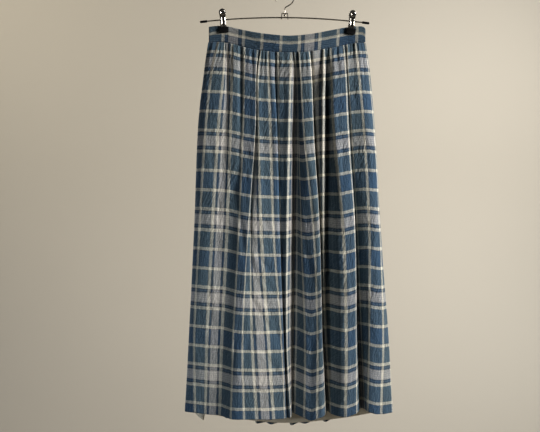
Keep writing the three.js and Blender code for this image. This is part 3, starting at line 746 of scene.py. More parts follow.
@dataclass(frozen=True)
class LiningCotton:
    """Thin plain cream cotton."""

    color: Color = srgb(240, 234, 220)
    shade: Color = srgb(222, 214, 196)
    thread: float = 0.5

    def make(self) -> bpy.types.Material:
        """The material."""
        shader = Shader("lining_cotton")
        u, v = shader.cloth()
        over = u.wave(2 * self.thread) * v.wave(2 * self.thread)
        cloud = shader.noise(shader.vector(u, v), 0.03, 3)
        color = shader.mix(cloud, self.shade, self.color)
        height = shader.noise(shader.vector(u, v * 0.3), 0.1, 3) + over * 0.04
        shader.set(Base_Color=shader.dim(color, 0.96 + over * 0.05), Roughness=0.78 + cloud * 0.1,
                   Normal=shader.bump(height, 0.001, 0.7), Specular_IOR_Level=0.3)
        return shader.material


@dataclass(frozen=True)
class Metal:
    """Bright wire or plated sheet, faintly drawn and handled."""

    name: str
    color: Color
    dull: Color
    roughness: float

    def make(self) -> bpy.types.Material:
        """The material."""
        shader = Shader(self.name)
        place = shader.object_place()
        smear = shader.noise(place, 90, 4, 0.6)
        grain = shader.noise(place, 900, 2)
        color = shader.mix(smear.rises(0.35, 0.7), self.color, self.dull)
        shader.set(Base_Color=color, Metallic=1.0, Roughness=self.roughness + smear * 0.16,
                   Normal=shader.bump(grain, 0.00003, 0.5))
        return shader.material


@dataclass(frozen=True)
class Rubber:
    """Matt black moulded rubber with a little dust on it."""

    color: Color = srgb(6, 7, 9)
    dust: Color = srgb(26, 26, 28)

    def make(self) -> bpy.types.Material:
        """The material."""
        shader = Shader("black_rubber")
        place = shader.object_place()
        dust = shader.noise(place, 260, 5, 0.65)
        grain = shader.bump(shader.noise(place, 1500, 2), 0.00004, 0.6)
        shader.set(Base_Color=shader.mix(dust.rises(0.55, 0.8) * 0.5, self.color, self.dust),
                   Roughness=0.5 + dust * 0.3, Normal=grain, Specular_IOR_Level=0.25)
        return shader.material


@dataclass(frozen=True)
class SewingThread:
    """Twisted cotton sewing thread."""

    color: Color = srgb(66, 88, 124)

    def make(self) -> bpy.types.Material:
        """The material."""
        shader = Shader("sewing_thread")
        twist = shader.noise(shader.object_place(), 3000, 1)
        shader.set(Base_Color=shader.dim(self.color[:3], 0.8 + twist * 0.4), Roughness=0.6 + twist * 0.1)
        return shader.material


@dataclass(frozen=True)
class Backdrop:
    """A plain pale surface."""

    color: Color = srgb(197, 191, 179)

    def make(self) -> bpy.types.Material:
        """The material."""
        shader = Shader("pale_backdrop")
        cloud = shader.noise(shader.object_place(), 1.2, 2)
        shader.set(Base_Color=shader.dim(self.color[:3], 0.98 + cloud * 0.04), Roughness=0.95)
        return shader.material


# ---- the skirt ----

@dataclass
class GatheredPanel:
    """A plaid panel gathered to the waistband, with its folds, gathers and turned hem."""

    side: Side
    folds: tuple[Fold, ...]
    stations: tuple[float, ...]
    creases: tuple[Crease, ...]
    wall: float = 0.55
    band_seam: float = 0.45
    off_band: float = 0.95
    seam_gap: float = 0.4
    drop: float = 837.0
    first_weft: float = 45.5
    hem_turning: float = 26.0
    hem_step: float = 1.2
    hem_extra: float = 0.6
    gather_pitch: float = 13.2
    gather_depth: float = 1.2
    gather_reach: float = 42.0
    full_room: float = 0.5
    waves: tuple[tuple[float, float], ...] = ((70, 0.35), (38, 0.22), (21, 0.13))
    waves_each: int = 6
    columns: int = 340
    rows: int = 120
    seed: int = 11

    def shares(self) -> np.ndarray:
        """The rows' shares of the way down, closer together near the band and the hem."""
        even = np.linspace(0, 1, self.rows - 4)
        step = self.hem_step
        hem = 1 - np.array([2.0, 4.5, self.hem_turning - step, self.hem_turning + step]) / self.drop
        return np.sort(np.concatenate([even ** 1.25, hem]))

    def lines(self, shares: np.ndarray, cuts: np.ndarray) -> tuple[np.ndarray, np.ndarray]:
        """X and distance from the skirt's middle of the folded cloth.

        Args:
            shares: the rows.
            cuts: the columns, as places across the flat cloth.

        Returns:
            Two arrays of rows by columns.
        """
        places = [f.cut for f in self.folds]
        x_rows = np.stack([smooth(self.stations, f.x, shares) for f in self.folds], 1)
        fade = np.clip(1 - shares / self.stations[1], 0, 1)
        out_rows = []
        for fold in self.folds:
            waist = float(band_at("belly", fold.x[0])) + self.off_band
            out_rows.append(smooth(self.stations, fold.out, shares) + waist * fade)
        out_rows[0] = out_rows[-1] = np.full(len(shares), self.seam_gap)
        out = np.stack(out_rows, 1)
        x = np.stack([smooth(places, row, cuts) for row in x_rows])
        y = np.stack([smooth(places, row, cuts) for row in out])
        return x, y

    def relief(self, shares: np.ndarray, cuts: np.ndarray, x: np.ndarray) -> np.ndarray:
        """How far the gathers and creases move the cloth out, in millimetres."""
        down = shares[:, None] * self.drop
        across = cuts[None, :]
        uneven = 0.3 * np.sin(across / 31) + 0.25 * np.sin(across / 74 + 1)
        phase = 2 * math.pi * (across / self.gather_pitch + uneven)
        reach = self.gather_reach * (1 + 0.45 * np.sin(across / 23 + 0.6) * np.sin(across / 61))
        fade = np.exp(-(down / reach) ** 1.3) * (0.45 + 0.55 * ease(0, 12, down))
        room = np.clip(np.abs(np.gradient(x, axis=1) / np.gradient(cuts)) / self.full_room, 0.1, 1)
        ripple = np.sin(phase + down / 160) + 0.35 * np.sin(2.3 * phase + 1.3 - down / 90)
        relief = self.gather_depth * fade * room * (ripple + 0.9)
        for crease in self.creases:
            turn = math.radians(crease.turn)
            lower, beside = down - crease.down, across - crease.cut
            along = lower * math.cos(turn) + beside * math.sin(turn)
            aside = (beside * math.cos(turn) - lower * math.sin(turn)) / crease.width
            bell = np.exp(-(2 * along / crease.length) ** 2 - aside ** 2)
            relief -= crease.depth * bell * (1 - 1.4 * aside ** 2) * room
        rng = np.random.default_rng(self.seed)
        for pitch, size in self.waves:
            for _ in range(self.waves_each):
                turn, start = rng.uniform(-0.9, 0.9), rng.uniform(0, 2 * math.pi)
                along = across * math.cos(turn) + down * math.sin(turn) * 0.5
                wave = along * 2 * math.pi / pitch + start
                relief += size / 2.4 * np.sin(wave) * ease(4, 60, down) * room
        edge = np.minimum(across - cuts[0], cuts[-1] - across)
        return relief * ease(0, 14, edge)

    def patch(self) -> Patch:
        """The middle of the cloth."""
        shares = self.shares()
        cuts = np.linspace(self.folds[0].cut, self.folds[-1].cut, self.columns)
        x, out = self.lines(shares, cuts)
        places = [f.cut for f in self.folds]
        waist_x = smooth(places, [f.x[0] for f in self.folds], cuts)
        top = band_at("bottom", waist_x) - self.band_seam
        hem = smooth(places, [f.hem for f in self.folds], cuts)
        z = top + (hem - top) * shares[:, None]
        points = np.stack([x, self.side.value * out, z], 2)
        down = np.broadcast_to(shares[:, None] * self.drop - self.first_weft, x.shape)
        cloth = np.stack([np.broadcast_to(cuts, x.shape), down], 2)
        flat = Patch(points, cloth, self.side.value)
        relief = self.relief(shares, cuts, x)
        relief[:, 0] = relief[:, -1] = 0
        return flat.moved(relief)

    def build(self, name: str, cloth: bpy.types.Material) -> bpy.types.Object:
        """Builds the panel, with its hem as thick as its turning makes it."""
        above_hem = (1 - self.shares()) * self.drop
        turned = 1 - ease(self.hem_turning - self.hem_step, self.hem_turning + self.hem_step, above_hem)
        wall = self.wall + self.hem_extra * turned
        return cloth_shell(name, self.patch(), wall[:, None], cloth)


@dataclass
class Lining:
    """A lining that hangs almost flat inside the plaid, with a narrow rolled hem."""

    side: Side
    hem: tuple[tuple[float, float], ...]
    wall: float = 0.7
    band_seam: float = 0.45
    inside_band: float = 0.7
    ripple: float = 0.5
    ripples: float = 9.0
    flap_at: float = -190.0
    flap_reach: float = 20.0
    flap_out: float = 16.0
    rolled: float = 0.4
    rolled_rows: int = 2
    columns: int = 150
    rows: int = 70

    def build(self, name: str, cloth: bpy.types.Material) -> bpy.types.Object:
        """Builds the lining as one piece of this cloth."""
        shares = np.linspace(0, 1, self.rows)
        known = [p.share for p in LINING_LINE]
        left, right, edge, middle = (smooth(known, [getattr(p, key) for p in LINING_LINE], shares)
                                     for key in ("left", "right", "edge", "middle"))
        place = np.linspace(0, 1, self.columns)[None, :]
        x = left[:, None] + (right - left)[:, None] * place
        waist_x = left[0] + (right[0] - left[0]) * place[0]
        hem_x = left[-1] + (right[-1] - left[-1]) * place[0]
        fade = np.clip(1 - shares / known[1], 0, 1)[:, None]
        held = (band_at("belly", waist_x) - self.inside_band) * fade
        hang = edge[:, None] + (middle - edge)[:, None] * np.sin(math.pi * place)
        swing = np.sin(math.pi * place)
        wave = np.sin(2 * math.pi * self.ripples * place + 1.3 * np.sin(9 * place)) * swing
        out = held + hang + self.ripple * wave * ease(0.08, 0.5, shares)[:, None]
        if self.side is Side.FRONT:
            flap = np.exp(-((hem_x - self.flap_at) / self.flap_reach) ** 2)
            out = out + self.flap_out * flap * ease(0.9, 1, shares)[:, None]
        hem = smooth([h[0] for h in self.hem], [h[1] for h in self.hem], hem_x)
        top = band_at("bottom", waist_x) - self.band_seam
        z = top + (hem - top) * shares[:, None]
        points = np.stack([x, self.side.value * out, z], 2)
        cloth_place = np.stack([x, -z], 2)
        in_roll = np.arange(self.rows) >= self.rows - self.rolled_rows
        wall = np.where(in_roll, self.wall + self.rolled, self.wall)
        return cloth_shell(name, Patch(points, cloth_place, self.side.value), wall[:, None], cloth)


@dataclass
class Waistband:
    """Half of the waistband: doubled cloth with a folded top and soft ends."""

    side: Side
    wall: float = 2.4
    round_end: float = 2.2
    swell: float = 0.35
    seam_pucker: float = 0.28
    warp_at_top: float = 33.6
    lavender_at: float = -113.0
    weft_stretch: float = 175.5 / 168.5
    join_at: float = -153.5
    join_shift: float = 8.0
    corner: float = 9.0
    steps: int = 300
    end_share: float = 0.03
    faces_down: int = 16

    def section(self) -> list[tuple[float, float]]:
        """The band's cross-section, as share of the way down and side of the middle."""
        down = [0.5 - 0.5 * math.cos(math.pi * k / self.faces_down) for k in range(self.faces_down + 1)]
        half = [(a, math.sqrt(max(0.0, 1 - abs(2 * a - 1) ** 9))) for a in down]
        return half + [(a, -n) for a, n in half[-2:0:-1]]

    def build(self, name: str, cloth: bpy.types.Material) -> bpy.types.Object:
        """Builds the band as one piece of this cloth."""
        first, last = BAND_LINE[0].x, BAND_LINE[-1].x
        inset = 0.5 - 0.5 * math.cos(self.end_share * math.pi)
        spread = 0.5 - 0.5 * np.cos(np.pi * np.linspace(self.end_share, 1 - self.end_share, self.steps))
        xs = first + (last - first) * (spread - inset) / (1 - 2 * inset)
        section = self.section()
        build = bmesh.new()
        layer = build.loops.layers.uv.new("cloth")
        rings, places = [], []
        for x in xs:
            end = min(x - first, last - x)
            thin = math.sqrt(max(0.08, 1 - max(0.0, 1 - end / self.round_end) ** 2))
            top, bottom = float(band_at("top", x)), float(band_at("bottom", x))
            near = max(0.0, 1 - (last - x) / self.corner)
            top -= self.corner * (1 - math.sqrt(max(0.0, 1 - near * near))) * 0.8
            bottom += self.corner * near ** 3 * 0.25
            belly = float(band_at("belly", x))
            ring, place = [], []
            for a, n in section:
                low = math.exp(-((1 - a) * (top - bottom)) / 5)
                pucker = self.seam_pucker * low * math.sin(x / 1.15 + 2 * math.sin(x / 17))
                ease_out = self.swell * (1 - (2 * a - 1) ** 2) * math.sin(x / 26 + a * 2) * 0.6
                outward = n * self.wall / 2 * thin + ((pucker + ease_out) * thin if n > 0 else 0)
                z = top + (bottom - top) * a
                ring.append(build.verts.new(Vector((x, self.side.value * (belly + outward), z)) * MM))
                place.append(((self.warp_at_top + a * (top - bottom)) * MM,
                              ((x - self.lavender_at) * self.weft_stretch + 1.5 * a) * MM))
            rings.append(ring)
            places.append(place)
        count = len(section)
        for r in range(len(rings) - 1):
            shift = self.join_shift * MM if (xs[r] + xs[r + 1]) / 2 < self.join_at else 0.0
            for k in range(count):
                n = (k + 1) % count
                corners = [(r, k), (r + 1, k), (r + 1, n), (r, n)]
                face = build.faces.new([rings[i][j] for i, j in corners])
                for loop, (i, j) in zip(face.loops, corners):
                    loop[layer].uv = (places[i][j][0], places[i][j][1] + shift)
        for ring, place in ((rings[0], places[0]), (rings[-1], places[-1])):
            face = build.faces.new(ring)
            for loop, uv in zip(face.loops, place):
                loop[layer].uv = uv
        for face in build.faces:
            face.smooth = len(face.verts) == 4
        return finished(name, build, cloth)

    def stitch_line(self, down: float, out: float) -> list[tuple[float, float, float]]:
        """A sewing line along the band's face.

        Args:
            down: share of the way from the top edge.
            out: how far off the band's middle the thread lies.

        Returns:
            Points in millimetres.
        """
        xs = np.linspace(BAND_LINE[0].x + 4, BAND_LINE[-1].x - 4, 160)
        top, bottom, belly = (band_at(key, xs) for key in ("top", "bottom", "belly"))
        z = top + (bottom - top) * down
        y = self.side.value * (belly + out)
        return [(float(a), float(b), float(c)) for a, b, c in zip(xs, y, z)]


# ---- stitches ----

@dataclass
class Stitches:
    """A run of stitches set along a line by Geometry Nodes."""

    length: float = 2.1
    pitch: float = 3.0
    thickness: float = 0.34

    def tree(self, thread: bpy.types.Material) -> tuple[bpy.types.NodeTree, dict[str, str]]:
        """Builds the node tree.

        Args:
            thread: the stitches' material.

        Returns:
            The tree, and the identifiers of its named inputs.
        """
        tree = bpy.data.node_groups.new("stitches_along_a_line", "GeometryNodeTree")
        face = tree.interface
        face.new_socket("Geometry", in_out="INPUT", socket_type="NodeSocketGeometry")
        face.new_socket("Geometry", in_out="OUTPUT", socket_type="NodeSocketGeometry")
        keys = {}
        for label in ("Pitch", "Stitch Length", "Thickness"):
            socket = face.new_socket(label, in_out="INPUT", socket_type="NodeSocketFloat")
            keys[label] = socket.identifier

        def add(kind: str, links: dict[str, Any], **settings: Any) -> bpy.types.Node:
            """Adds a node, sets its properties and feeds its inputs."""
            node = tree.nodes.new(kind)
            for key, value in settings.items():
                setattr(node, key, value)
            for key, value in links.items():
                socket = next(s for s in node.inputs if s.name == key and s.enabled)
                if isinstance(value, bpy.types.NodeSocket):
                    tree.links.new(value, socket)
                else:
                    socket.default_value = value
            return node

        start = add("NodeGroupInput", {})
        curve = add("GeometryNodeMeshToCurve", {"Mesh": start.outputs["Geometry"]})
        even = add("GeometryNodeResampleCurve", {"Curve": curve.outputs["Curve"],
                                                 "Length": start.outputs["Pitch"]}, mode="LENGTH")
        way = add("GeometryNodeInputTangent", {})
        turn = add("FunctionNodeAlignRotationToVector", {"Vector": way.outputs["Tangent"]}, axis="Z")
        bead = add("GeometryNodeMeshUVSphere", {"Segments": 6, "Rings": 5, "Radius": 0.5})
        thick, long = start.outputs["Thickness"], start.outputs["Stitch Length"]
        size = add("ShaderNodeCombineXYZ", {"X": thick, "Y": thick, "Z": long})
        sown = add("GeometryNodeInstanceOnPoints", {
            "Points": even.outputs["Curve"], "Instance": bead.outputs["Mesh"],
            "Rotation": turn.outputs["Rotation"], "Scale": size.outputs["Vector"]})
        real = add("GeometryNodeRealizeInstances", {"Geometry": sown.outputs["Instances"]})
        dyed = add("GeometryNodeSetMaterial", {"Geometry": real.outputs["Geometry"], "Material": thread})
        end = add("NodeGroupOutput", {})
        tree.links.new(dyed.outputs["Geometry"], end.inputs["Geometry"])
        return tree, keys

    def build(self, name: str, lines: Sequence[Sequence[Sequence[float]]],
              thread: bpy.types.Material) -> bpy.types.Object:
        """Sews along each line.

        Args:
            name: the piece's name.
            lines: points in millimetres for each run.
            thread: the material.

        Returns:
            The stitches as one plain mesh.
        """
        points, edges = [], []
        for line in lines:
            start = len(points)
            points += [tuple(c * MM for c in p) for p in line]
            edges += [(k, k + 1) for k in range(start, len(points) - 1)]
        guide_mesh = bpy.data.meshes.new(name + "_guide")
        guide_mesh.from_pydata(points, edges, [])
        guide = new_object(name + "_guide", guide_mesh)
        tree, keys = self.tree(thread)
        modifier = guide.modifiers.new("sew", "NODES")
        modifier.node_group = tree
        modifier[keys["Pitch"]] = self.pitch * MM
        modifier[keys["Stitch Length"]] = self.length * MM
        modifier[keys["Thickness"]] = self.thickness * MM
        bpy.context.view_layer.update()
        ready = guide.evaluated_get(bpy.context.evaluated_depsgraph_get())
        mesh = bpy.data.meshes.new_from_object(ready)
        mesh.name = name
        bpy.data.objects.remove(guide)
        mesh.polygons.foreach_set("use_smooth", np.ones(len(mesh.polygons), bool))
        return new_object(name, mesh)


# ---- the studio ----

@dataclass(frozen=True)
class Lamp:
    """One square soft light: where it stands, what it points at, and its spread in degrees."""

    name: str
    place: tuple[float, float, float]
    aim: tuple[float, float, float]
    size: float
    power: float
    spread: float
    color: tuple[float, float, float] = (1.0, 0.98, 0.95)

    def build(self) -> None:
        """Hangs the lamp."""
        data = bpy.data.lights.new(self.name, "AREA")
        data.size, data.energy, data.spread = self.size, self.power, math.radians(self.spread)
        data.color = self.color
        light = new_object(self.name, data)
        light.location = self.place
        light.rotation_mode = "QUATERNION"
        way = Vector(self.aim) - Vector(self.place)
        light.rotation_quaternion = way.to_track_quat("-Z", "Y")


SKIRT_MIDDLE = (0.0, 0.0, -0.5)
SHADE = (0.8, 0.9, 1.0)
WARM = (1.0, 0.93, 0.8)
LAMPS = (
    Lamp("key", (2.54, -1.41, 0.65), SKIRT_MIDDLE, 1.0, 20.0, 62),
    Lamp("fill", (-1.8, -2.0, -0.3), (-0.45, 0.0, -0.8), 0.7, 0.75, 26, SHADE),
    Lamp("back", (1.8, 2.0, 0.8), SKIRT_MIDDLE, 1.6, 12.0, 62),
    Lamp("wash", (2.2, 1.2, 0.6), (-0.5, 3.4, -0.8), 1.6, 51.0, 110),
    Lamp("corner", (-2.6, 1.3, 0.9), (-1.3, 3.4, 0.9), 1.2, 13.0, 100, WARM),
    Lamp("rim", (-2.4, 1.4, 0.5), SKIRT_MIDDLE, 1.4, 7.0, 60),
)


@dataclass
class Studio:
    """Floor, lights and camera."""

    eye: tuple[float, float, float] = (-0.0325, -2.2, -0.390)
    pitch: float = 3.0
    lens: float = 65.6
    floor: float = -1.75
    wall_at: float = 2.0
    wall_top: float = 5.0
    cove_radius: float = 1.4
    half_width: float = 6.0
    sky: float = 0.03
    tone: float = 0.9

    def cove(self, surface: bpy.types.Material) -> bpy.types.Object:
        """A pale floor that curves up into a far wall."""
        profile = [(-5.0, self.floor), (self.wall_at, self.floor)]
        for k in range(1, 17):
            turn = math.pi / 2 * k / 16
            profile.append((self.wall_at + self.cove_radius * math.sin(turn),
                            self.floor + self.cove_radius * (1 - math.cos(turn))))
        profile.append((self.wall_at + self.cove_radius, self.wall_top))
        points = [(x, y, z) for y, z in profile for x in (-self.half_width, self.half_width)]
        faces = [(2 * k, 2 * k + 1, 2 * k + 3, 2 * k + 2) for k in range(len(profile) - 1)]
        mesh = bpy.data.meshes.new("pale_floor")
        mesh.from_pydata(points, [], faces)
        mesh.polygons.foreach_set("use_smooth", np.ones(len(faces), bool))
        return new_object("pale_floor", mesh, surface)

    def build(self) -> None:
        """Builds the set and the camera."""
        self.cove(Backdrop().make())
        for lamp in LAMPS:
            lamp.build()
        world = bpy.data.worlds.new("pale_room")
        world.use_nodes = True
        background = world.node_tree.nodes["Background"].inputs
        background["Color"].default_value = srgb(206, 216, 228)
        background["Strength"].default_value = self.sky
        scene = bpy.context.scene
        scene.world = world
        scene.view_settings.view_transform = "Standard"
        scene.view_settings.gamma = self.tone
        data = bpy.data.cameras.new("camera")
        data.lens, data.sensor_width = self.lens, 36.0
        camera = new_object("camera", data)
        camera.location = self.eye
        camera.rotation_euler = (math.radians(90 - self.pitch), 0, 0)
        scene.camera = camera


# ---- the whole ----

def place_piece(piece: bpy.types.Object, slot: str, *nodes: str) -> bpy.types.Object:
    """Rides a piece on the one body and hides the parts it stands for."""
    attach(piece, "root")
    if nodes:
        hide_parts(*nodes)
    log.info("%s: %d faces", piece.name, len(piece.data.polygons))
    return piece


@dataclass
class Skirt:
    """The whole skirt: panels, linings, waistband and their sewing."""

    panel_cut: tuple[float, float] = (0.748, 0.854)
    lining_cut: tuple[float, float] = (0.43, 0.83)
    band_cut: tuple[float, float] = (0.352, 0.038)
    stitched_at: float = 0.945
    thread_off: float = 0.25

    def build(self) -> None:
        """Builds every sewn piece."""
        plaid, plain = PlaidCotton().make(), LiningCotton().make()
        # The waistband's plaid is a darker copy of the same cloth (tone 0.6 against 0.75): painted shade
        # on the band
        pressed = PlaidCotton("plaid_cotton_painted_shade", 0.6).make()
        thread = SewingThread().make()
        sewing = []
        for side, folds, stations, creases, hem in (
                (Side.FRONT, FRONT_FOLDS, FRONT_STATIONS, FRONT_CREASES, FRONT_LINING_HEM),
                (Side.BACK, BACK_FOLDS, BACK_STATIONS, BACK_CREASES, BACK_LINING_HEM)):
            word = side.name.lower()
            band = Waistband(side)
            # The band takes the plaid copy with painted shade
            band_piece = place_piece(band.build(f"waistband_{word}_cloth", pressed), "plaid_cotton",
                                     f"waistband_{word}")
            panel = GatheredPanel(side, folds, stations, creases)
            piece = place_piece(panel.build(f"panel_{word}_cloth", plaid), "plaid_cotton",
                                f"panel_{word}")
            lining = place_piece(Lining(side, hem).build(f"lining_{word}_cloth", plain), "lining_cotton",
                                 f"lining_{word}")
            sewing.append(band.stitch_line(self.stitched_at, band.wall / 2 + self.thread_off))
        place_piece(Stitches().build("waistband_topstitching", sewing, thread), "plaid_cotton")


@dataclass(frozen=True)
class Bar:
    """The hanger's bowed bar."""

    left: float = -181.0
    right: float = 181.0
    centre: float = -65.3
    bow: float = 3.15e-4
    tilt: float = 0.0076
    radius: float = 1.5

    def height(self, x: float) -> float:
        """The bar's height at x."""
        return self.centre - self.bow * x * x - self.tilt * x

    def slope(self, x: float) -> float:
        """How fast it falls at x."""
        return 2 * self.bow * x + self.tilt


@dataclass
class Clip:
    """A pressed steel clip with two ribbed jaws, rubber boots and a coiled spring."""

    word: str
    x: float
    bar: Bar
    sheet: float = 1.1
    top: float = 23.2
    tip_from: float = 17.0
    thumb: float = 7.4
    waist: float = 5.9
    foot: float = 7.2
    boot_top: float = -16.3
    boot_height: float = 12.4
    boot_width: float = 20.8
    boot_depth: float = 4.4
    boot_round: float = 1.1
    collar: float = 0.15
    rib_spread: float = 3.9
    rib_height: float = 1.35
    rib_width: float = 1.15
    dish_ring: float = 4.7
    ear_radius: float = 4.2
    coil_radius: float = 3.2
    wire_radius: float = 0.6
    turns: float = 2.5
    arm_height: float = 10.0
    middle: float = 5.35
    side_view: tuple[tuple[float, float], ...] = (
        (-16.0, 0.0), (-11.0, 1.6), (-6.0, 1.4), (0.0, 0.6), (6.0, 1.6), (15.0, 4.2), (23.2, 4.6))

    def half_width(self, z: float) -> float:
        """Half the jaw's width at a height above the bar."""
        centre = self.top - self.thumb
        if z > centre:
            return math.sqrt(max(0.35, self.thumb ** 2 - (z - centre) ** 2))
        heights = (self.boot_top, 1.0, 9.0, centre)
        return float(smooth(heights, (self.foot, self.waist, 6.6, self.thumb), z))

    def off(self, z: Any) -> np.ndarray:
        """How far the jaw's sheet stands from the bar's axis at a height."""
        return self.middle + smooth([p[0] for p in self.side_view], [p[1] for p in self.side_view], z)

    def relief(self, x: np.ndarray, z: float, half: float) -> np.ndarray:
        """The pressed ribs, the finger dish and the rolled rim."""
        rib = sum(np.exp(-((x - way * self.rib_spread) / self.rib_width) ** 2) for way in (-1, 1))
        rib = rib * self.rib_height * (1 - float(ease(2.0, 7.0, z)))
        r = np.hypot(x, z - (self.top - self.thumb))
        dish = 0.75 * np.exp(-((r - self.dish_ring) / 1.1) ** 2) - 0.9 * np.exp(-(r / 3.0) ** 2)
        rim = 0.4 * np.exp(-((half - np.abs(x)) / 0.6) ** 2)
        return rib + dish + rim

    def jaw(self, side: Side, ear_x: float, metal: bpy.types.Material) -> list[bpy.types.Object]:
        """The sheet of one jaw and its two ears, about the bar's axis."""
        way = side.value
        heights = np.concatenate([np.linspace(self.top - 0.03, self.tip_from, 12)[:-1],
                                  np.linspace(self.tip_from, self.boot_top + 0.3, 52)])
        across = np.linspace(-1, 1, 41)
        rows = []
        for z in heights:
            half = self.half_width(float(z))
            x = across * half
            y = way * (float(self.off(z)) + self.relief(x, float(z), half))
            rows.append(np.stack([x, y, np.full_like(x, z)], 1))
        points = np.stack(rows)
        parts = [cloth_shell("sheet", Patch(points, points[..., :2], way), self.sheet, metal)]
        for x in (-ear_x, ear_x):
            ring_rows = []
            for z in np.linspace(self.ear_radius - 0.05, -self.ear_radius + 0.05, 15):
                back = math.sqrt(self.ear_radius ** 2 - z * z)
                y = way * np.linspace(-back, float(self.off(z)) - 0.2, 9)
                ring_rows.append(np.stack([np.full_like(y, x), y, np.full_like(y, z)], 1))
            ear = np.stack(ring_rows)
            parts.append(cloth_shell("ear", Patch(ear, ear[..., :2], way), self.sheet, metal))
        return parts

    def boot(self, name: str, side: Side, rubber: bpy.types.Material) -> bpy.types.Object:
        """The rubber boot on one jaw: a moulded block with a collar at its mouth."""
        low = self.boot_top - self.boot_height
        levels = ((0, 0.9), (0.25, 0.4), (0.8, 0.08), (1.6, 0), (self.boot_height - 2.6, 0),
                  (self.boot_height - 2.4, -self.collar), (self.boot_height - 0.7, -self.collar),
                  (self.boot_height - 0.2, 0.15), (self.boot_height, 0.6))
        rings = []
        for rise, inset in levels:
            half, deep, r = self.boot_width / 2 - inset, self.boot_depth / 2 - inset, self.boot_round
            ring = []
            for quarter, (sx, sy) in enumerate(((1, 1), (-1, 1), (-1, -1), (1, -1))):
                for k in range(6):
                    turn = math.pi / 2 * (quarter + k / 5)
                    y = sy * (deep - r) + r * math.sin(turn)
                    ring.append((sx * (half - r) + r * math.cos(turn),
                                 side.value * self.middle + y, low + rise))
            rings.append(ring)
        return lofted(name, rings, rubber)

    def spring(self, name: str, metal: bpy.types.Material) -> bpy.types.Object:
        """The spring coiled about the bar, with an arm behind each thumb plate."""
        width = self.turns * (2 * self.wire_radius + 0.3)
        arm = self.coil_radius + 2.2
        steps = 16
        points = [(-width / 2, -arm, self.arm_height)]
        for k in range(int(self.turns * steps) + 1):
            turn = math.pi - 2 * math.pi * k / steps
            points.append((-width / 2 + width * k / (self.turns * steps),
                           self.coil_radius * math.cos(turn), -self.coil_radius * math.sin(turn)))
        points.append((width / 2, arm, self.arm_height))
        return tube(name, points, self.wire_radius, metal, 10, 3)

    def build(self, metal: bpy.types.Material, rubber: bpy.types.Material) -> None:
        """Builds the clip's pieces where they hang on the bar."""
        place = (Matrix.Translation(Vector((self.x, 0, self.bar.height(self.x))) * MM)
                 @ Matrix.Rotation(math.atan(self.bar.slope(self.x)), 4, "Y"))
        stem = f"clip_{self.word}"
        outer = self.waist - self.sheet / 2
        for side, ear_x in ((Side.FRONT, outer), (Side.BACK, outer - self.sheet - 0.3)):
            word = side.name.lower()
            jaw = joined(f"{stem}_jaw_{word}_pressed", self.jaw(side, ear_x, metal))
            boot = self.boot(f"{stem}_boot_{word}_moulded", side, rubber)
            for piece in (jaw, boot):
                piece.data.transform(place)
            place_piece(jaw, "clip_chrome", f"{stem}_jaw_{word}")
            place_piece(boot, "black_rubber", f"{stem}_boot_{word}")
        spring = self.spring(stem + "_spring_wire", metal)
        spring.data.transform(place)
        place_piece(spring, "clip_chrome", stem + "_spring")


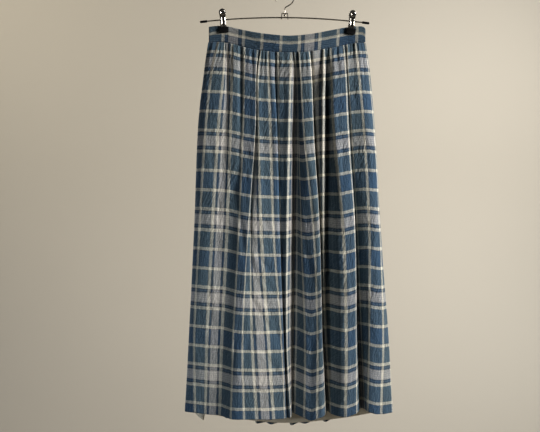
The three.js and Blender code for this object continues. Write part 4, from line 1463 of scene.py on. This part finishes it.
@dataclass
class Hanger:
    """The wire hanger: bar, end caps, hook, saddle and two clips."""

    bar: Bar = Bar()
    cap_radius: float = 2.7
    cap_length: float = 15.0
    cap_depth: float = 8.0
    hook_radius: float = 21.0
    hook_wire: float = 1.3
    stem_base: float = -60.4
    stem_top: float = -48.0
    hook_from: float = -50.0
    hook_to: float = 205.0
    lead: float = 7.0
    clips: tuple[tuple[str, float], ...] = (("left", -136.6), ("right", 148.7))
    rivet: tuple[tuple[float, float], ...] = (
        (-1.5, 1.8), (-1.3, 2.5), (-0.7, 2.8), (-0.1, 2.6), (0.2, 2.0))
    steel: Metal = Metal("hanger_steel", srgb(196, 190, 178), srgb(140, 132, 118), 0.24)
    chrome: Metal = Metal("clip_chrome", srgb(206, 202, 194), srgb(150, 142, 128), 0.16)

    def build(self) -> None:
        """Builds the hanger's pieces, and dresses the saddle's own solid."""
        steel, chrome, rubber = self.steel.make(), self.chrome.make(), Rubber().make()
        bar = self.bar
        xs = np.linspace(bar.left, bar.right, 25)
        wire = tube("hanger_bar_wire", [(x, 0.0, bar.height(x)) for x in xs], bar.radius, steel, 20, 4)
        place_piece(wire, "hanger_steel", "hanger_bar")
        for word, end in (("left", -1), ("right", 1)):
            x = bar.left if end < 0 else bar.right
            along = Vector((end, 0.0, -end * bar.slope(x))).normalized()
            tip = Vector((x, 0.0, bar.height(x)))
            reach = self.cap_length - self.cap_depth - self.cap_radius
            line = [tuple(tip + along * by) for by in (0.6 - self.cap_depth, 0.0, reach)]
            cap = tube(f"hanger_cap_{word}_moulded", line, self.cap_radius, rubber, 24, 4)
            place_piece(cap, "black_rubber", f"hanger_cap_{word}")
        place_piece(self.hook(steel), "hanger_steel", "hanger_hook")
        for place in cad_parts["hanger_saddle"].material_slots:
            place.material = steel
        for word, x in self.clips:
            Clip(word, x, bar).build(chrome, rubber)

    def hook(self, steel: bpy.types.Material) -> bpy.types.Object:
        """The hook's wire, from its riveted foot up and round."""
        centre = self.hook_wire - self.hook_radius
        turns = [math.radians(d) for d in np.linspace(self.hook_from, self.hook_to, 26)]
        arc = [(self.hook_radius * math.cos(t), 0.0, centre + self.hook_radius * math.sin(t))
               for t in turns]
        lead = math.radians(self.hook_from + 90)
        entry = (arc[0][0] - self.lead * math.cos(lead), 0.0, arc[0][2] - self.lead * math.sin(lead))
        foot, above = (0.0, 0.0, self.stem_top), (0.0, 0.0, self.stem_top + self.lead)
        corners = [np.array(p) for p in (foot, above, entry, arc[0])]
        bend = []
        for s in np.linspace(0, 1, 7)[:-1]:
            shares = ((1 - s) ** 3, 3 * s * (1 - s) ** 2, 3 * s * s * (1 - s), s ** 3)
            bend.append(tuple(sum(share * corner for share, corner in zip(shares, corners))))
        stem = [(0.0, 0.0, z) for z in np.linspace(self.stem_base - 1.0, self.stem_top, 5)[:-1]]
        wire = tube("wire", stem + bend + arc, self.hook_wire, steel, 18, 3)
        round_turns = [2 * math.pi * k / 24 for k in range(24)]
        rings = [[(radius * math.cos(t), radius * math.sin(t), self.stem_base + z) for t in round_turns]
                 for z, radius in self.rivet]
        return joined("hanger_hook_wire", [wire, lofted("rivet", rings, steel)])


def main() -> None:
    """Builds everything in order."""
    logging.basicConfig(level=logging.INFO, format="%(message)s")
    Studio().build()
    Skirt().build()
    Hanger().build()


if __name__ == "__main__":
    main()
